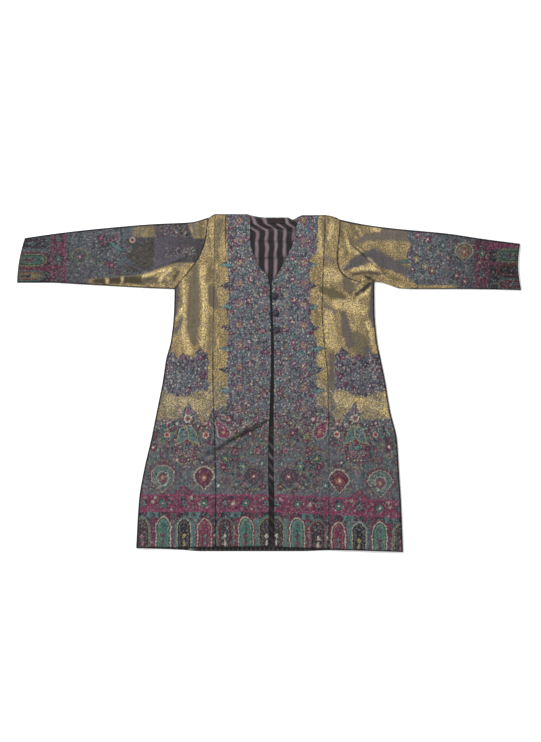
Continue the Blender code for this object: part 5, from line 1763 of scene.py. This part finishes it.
def set_bump(tree, shader, height, strength, distance):
    """Relief of the threads, distance in metres."""
    bump = add_node(tree, "ShaderNodeBump", {"Strength": strength, "Distance": distance, "Height": height})
    tree.links.new(bump.outputs[0], shader.inputs["Normal"])


def tinted(tree, colour, factor):
    """Colour times a brightness factor."""
    scaled = add_node(tree, "ShaderNodeVectorMath", {0: colour, 3: factor}, operation="SCALE")
    return scaled.outputs[0]


def make_shawl_cloth():
    """Woven tint with grain, ribs and slubs, and painted glints where the metal thread shows."""
    material, tree, shader = new_material(
        "shawl_cloth_weave",
        Sheen_Weight=0.04,
        Sheen_Roughness=0.5,
        Specular_IOR_Level=0.25,
    )
    place = add_node(tree, "ShaderNodeTexCoord").outputs["Object"]
    tint = read_attribute(tree, "tint", "Color")
    metal = read_attribute(tree, "metal", "Fac")
    grain = stretched_noise(tree, place, (330.0, 210.0, 330.0), 2.0, 0.65)
    sparkle = stretched_noise(tree, place, (560.0, 420.0, 560.0), 1.0, 0.5)
    streak = stretched_noise(tree, place, (190.0, 9.0, 60.0), 2.0)
    ribs = twill(tree, place, 0.0011, 0.5)
    threads = twill(tree, place, 0.0007, -2.0)
    grain_gain = math_node(tree, "MULTIPLY_ADD", metal, 0.9, 0.6)
    grain_part = about_middle(tree, grain, grain_gain)
    sparkle_part = about_middle(tree, sparkle, 1.3)
    streak_part = about_middle(tree, streak, 0.5)
    rib_part = about_middle(tree, ribs, 0.16)
    total = math_node(tree, "ADD", grain_part, sparkle_part)
    total = math_node(tree, "ADD", total, streak_part)
    total = math_node(tree, "ADD", total, rib_part)
    factor = math_node(tree, "MAXIMUM", math_node(tree, "ADD", total, 1.0), 0.25)
    # Painted glints: bright specks of metal thread on a duller ground
    glint_specks = stretched_noise(tree, place, (400.0, 340.0, 400.0), 1.0, 0.5)
    glint_specks = math_node(tree, "MULTIPLY_ADD", math_node(tree, "SUBTRACT", glint_specks, 0.5), 7.0, 0.35)
    glint_specks = add_node(tree, "ShaderNodeClamp", {"Value": glint_specks}).outputs[0]
    glow = times(tree, tint, (1.85, 1.76, 1.25))
    dull = times(tree, tint, (0.6, 0.58, 0.78))
    metal_with_glints = mixed(tree, glint_specks, dull, glow)
    cloth = mixed(tree, metal, tint, metal_with_glints)
    tree.links.new(tinted(tree, cloth, factor), shader.inputs["Base Color"])
    tree.links.new(math_node(tree, "MULTIPLY", metal, 0.35), shader.inputs["Metallic"])
    rough = math_node(tree, "MULTIPLY_ADD", metal, -0.3, 0.8)
    rough = math_node(tree, "MULTIPLY_ADD", grain, 0.12, rough)
    tree.links.new(rough, shader.inputs["Roughness"])
    crumple = stretched_noise(tree, place, (34.0, 26.0, 34.0), 3.0)
    height = math_node(tree, "MULTIPLY", ribs, 0.1)
    height = math_node(tree, "MULTIPLY_ADD", threads, 0.08, height)
    height = math_node(tree, "MULTIPLY_ADD", grain, 0.3, height)
    height = math_node(tree, "MULTIPLY_ADD", crumple, 1.6, height)
    set_bump(tree, shader, height, 0.8, 0.0016)
    return material


# The lining's two colours, as seen on a screen
LINING_DARK = (24, 16, 19)
LINING_PALE = (118, 102, 108)


def make_striped_lining():
    """Satin with pale stripes on a dark ground."""
    material, tree, shader = new_material(
        "striped_lining_satin", Sheen_Weight=0.04, Specular_IOR_Level=0.3
    )
    place = add_node(tree, "ShaderNodeTexCoord").outputs["Object"]
    stripes = read_attribute(tree, "metal", "Fac")
    wave = math_node(tree, "COSINE", math_node(tree, "MULTIPLY", stripes, math.tau))
    crest = math_node(tree, "MULTIPLY_ADD", wave, 0.9, 0.02)
    stripe = add_node(tree, "ShaderNodeClamp", {"Value": crest}).outputs[0]
    fine = twill(tree, place, 0.0007, 0.3)
    slub = stretched_noise(tree, place, (500.0, 40.0, 400.0), 2.0)
    colour = mixed(tree, stripe, (*linear(LINING_DARK), 1.0), (*linear(LINING_PALE), 1.0))
    gain = math_node(tree, "MULTIPLY_ADD", slub, 0.5, 0.72)
    gain = math_node(tree, "MULTIPLY_ADD", fine, 0.08, gain)
    # The tint attribute is the painted light and shade of the lining, which scales its colour
    gain = math_node(tree, "MULTIPLY", gain, read_attribute(tree, "tint", "Fac"))
    tree.links.new(tinted(tree, colour, gain), shader.inputs["Base Color"])
    tree.links.new(math_node(tree, "MULTIPLY_ADD", slub, 0.2, 0.34), shader.inputs["Roughness"])
    crumple = stretched_noise(tree, place, (40.0, 30.0, 40.0), 3.0)
    height = math_node(tree, "MULTIPLY_ADD", crumple, 1.5, math_node(tree, "MULTIPLY", fine, 0.1))
    set_bump(tree, shader, height, 0.7, 0.0014)
    return material


def make_dark_cloth(name, colour, worn, pitch, roughness, ribs_depth):
    """Plain dark woven cloth or cord."""
    material, tree, shader = new_material(name, Sheen_Weight=0.05, Specular_IOR_Level=0.3)
    place = add_node(tree, "ShaderNodeTexCoord").outputs["Object"]
    ribs = twill(tree, place, pitch, 0.6)
    cross = twill(tree, place, pitch, -1.4)
    wear = stretched_noise(tree, place, (220.0, 220.0, 220.0), 3.0)
    gain = math_node(tree, "MULTIPLY_ADD", wear, 0.9, 0.55)
    gain = math_node(tree, "MULTIPLY_ADD", ribs, 0.25, gain)
    base = mixed(tree, wear, (*linear(colour), 1.0), (*linear(worn), 1.0))
    tree.links.new(tinted(tree, base, gain), shader.inputs["Base Color"])
    tree.links.new(math_node(tree, "MULTIPLY_ADD", wear, 0.15, roughness), shader.inputs["Roughness"])
    height = math_node(tree, "MULTIPLY_ADD", ribs, 0.5, math_node(tree, "MULTIPLY", cross, 0.5))
    set_bump(tree, shader, height, 0.7, ribs_depth)
    return material


shawl_cloth = make_shawl_cloth()
striped_lining = make_striped_lining()
label_ribbon = make_dark_cloth("label_ribbon_weave", (20, 12, 10), (34, 24, 20), 0.0005, 0.5, 0.0001)
covered_button_cloth = make_dark_cloth(
    "covered_button_cloth", (30, 31, 38), (58, 58, 68), 0.0007, 0.7, 0.00018
)
loop_cord = make_dark_cloth("loop_cord_cover", (28, 28, 34), (48, 48, 56), 0.0006, 0.7, 0.00015)

# Pieces

back_panel()
lining_panel()
facing_panel()
neck_label()
front_panel("front_right_side", RIGHT_SIDE, RIGHT_PRINCESS, SIDE_STEP)
front_panel("front_right_centre", RIGHT_PRINCESS, RIGHT_EDGE, CENTRE_STEP)
front_panel("front_left_centre", LEFT_EDGE, LEFT_PRINCESS, CENTRE_STEP)
front_panel("front_left_side", LEFT_PRINCESS, LEFT_SIDE, SIDE_STEP)
sleeve("sleeve_right", RIGHT_SIDE, right_sleeve_pattern)
sleeve("sleeve_left", LEFT_SIDE, left_sleeve_pattern)
for number in (1, 2, 3):
    covered_button(number)
    cord_loop(number)

# Floor, light and camera
FLOOR_SIDE = 9.0
FLOOR_DROP = 0.0002       # keeps the floor clear of the cloth's underside


def make_floor():
    """Pale floor just below the jacket."""
    half = FLOOR_SIDE / 2
    mesh = bpy.data.meshes.new("floor")
    corners = [(-half, -half, 0), (half, -half, 0), (half, half, 0), (-half, half, 0)]
    mesh.from_pydata(corners, [], [(0, 1, 2, 3)])
    floor = bpy.data.objects.new("floor", mesh)
    bpy.context.scene.collection.objects.link(floor)
    floor.location.z = -FLOOR_DROP
    material, _, shader = new_material("pale_floor", Base_Color=(0.95, 0.95, 0.95, 1.0), Roughness=0.9)
    shader.inputs["Emission Color"].default_value = (1.0, 1.0, 1.0, 1.0)
    shader.inputs["Emission Strength"].default_value = 0.12
    mesh.materials.append(material)


def add_light(name, place, size, energy):
    """Square lamp that faces the jacket."""
    lamp = bpy.data.lights.new(name, "AREA")
    lamp.size = size
    lamp.energy = energy
    light = bpy.data.objects.new(name, lamp)
    bpy.context.scene.collection.objects.link(light)
    light.location = place
    direction = -light.location.normalized()
    light.rotation_euler = direction.to_track_quat("-Z", "Y").to_euler()


def make_world():
    """Even white light from all round."""
    world = bpy.data.worlds.new("soft_studio")
    world.use_nodes = True
    background = world.node_tree.nodes["Background"]
    background.inputs["Color"].default_value = (1.0, 1.0, 1.0, 1.0)
    background.inputs["Strength"].default_value = 0.6
    bpy.context.scene.world = world


# The photograph is taken straight from above. One of its pixels is 2.8 mm on the jacket.
PHOTO_PIXEL = 0.0028
PHOTO_SIZE = (541, 742)
PHOTO_CENTRE = (0.0042, 0.0336)
CAMERA_HEIGHT = 4.5
SENSOR = 36.0


def make_camera():
    """Camera straight above, which frames what the photograph does."""
    camera_data = bpy.data.cameras.new("camera")
    camera_data.sensor_width = SENSOR
    camera_data.sensor_fit = "AUTO"
    camera_data.lens = SENSOR * CAMERA_HEIGHT / (PHOTO_SIZE[1] * PHOTO_PIXEL)
    camera_data.clip_end = 50.0
    camera = bpy.data.objects.new("camera", camera_data)
    bpy.context.scene.collection.objects.link(camera)
    camera.location = (*PHOTO_CENTRE, CAMERA_HEIGHT)
    bpy.context.scene.camera = camera


make_floor()
make_world()
add_light("key", (-2.2, 2.4, 2.4), 1.2, 165.0)
add_light("fill", (2.4, -1.6, 2.6), 2.4, 16.0)
make_camera()
bpy.context.scene.view_settings.view_transform = "Standard"
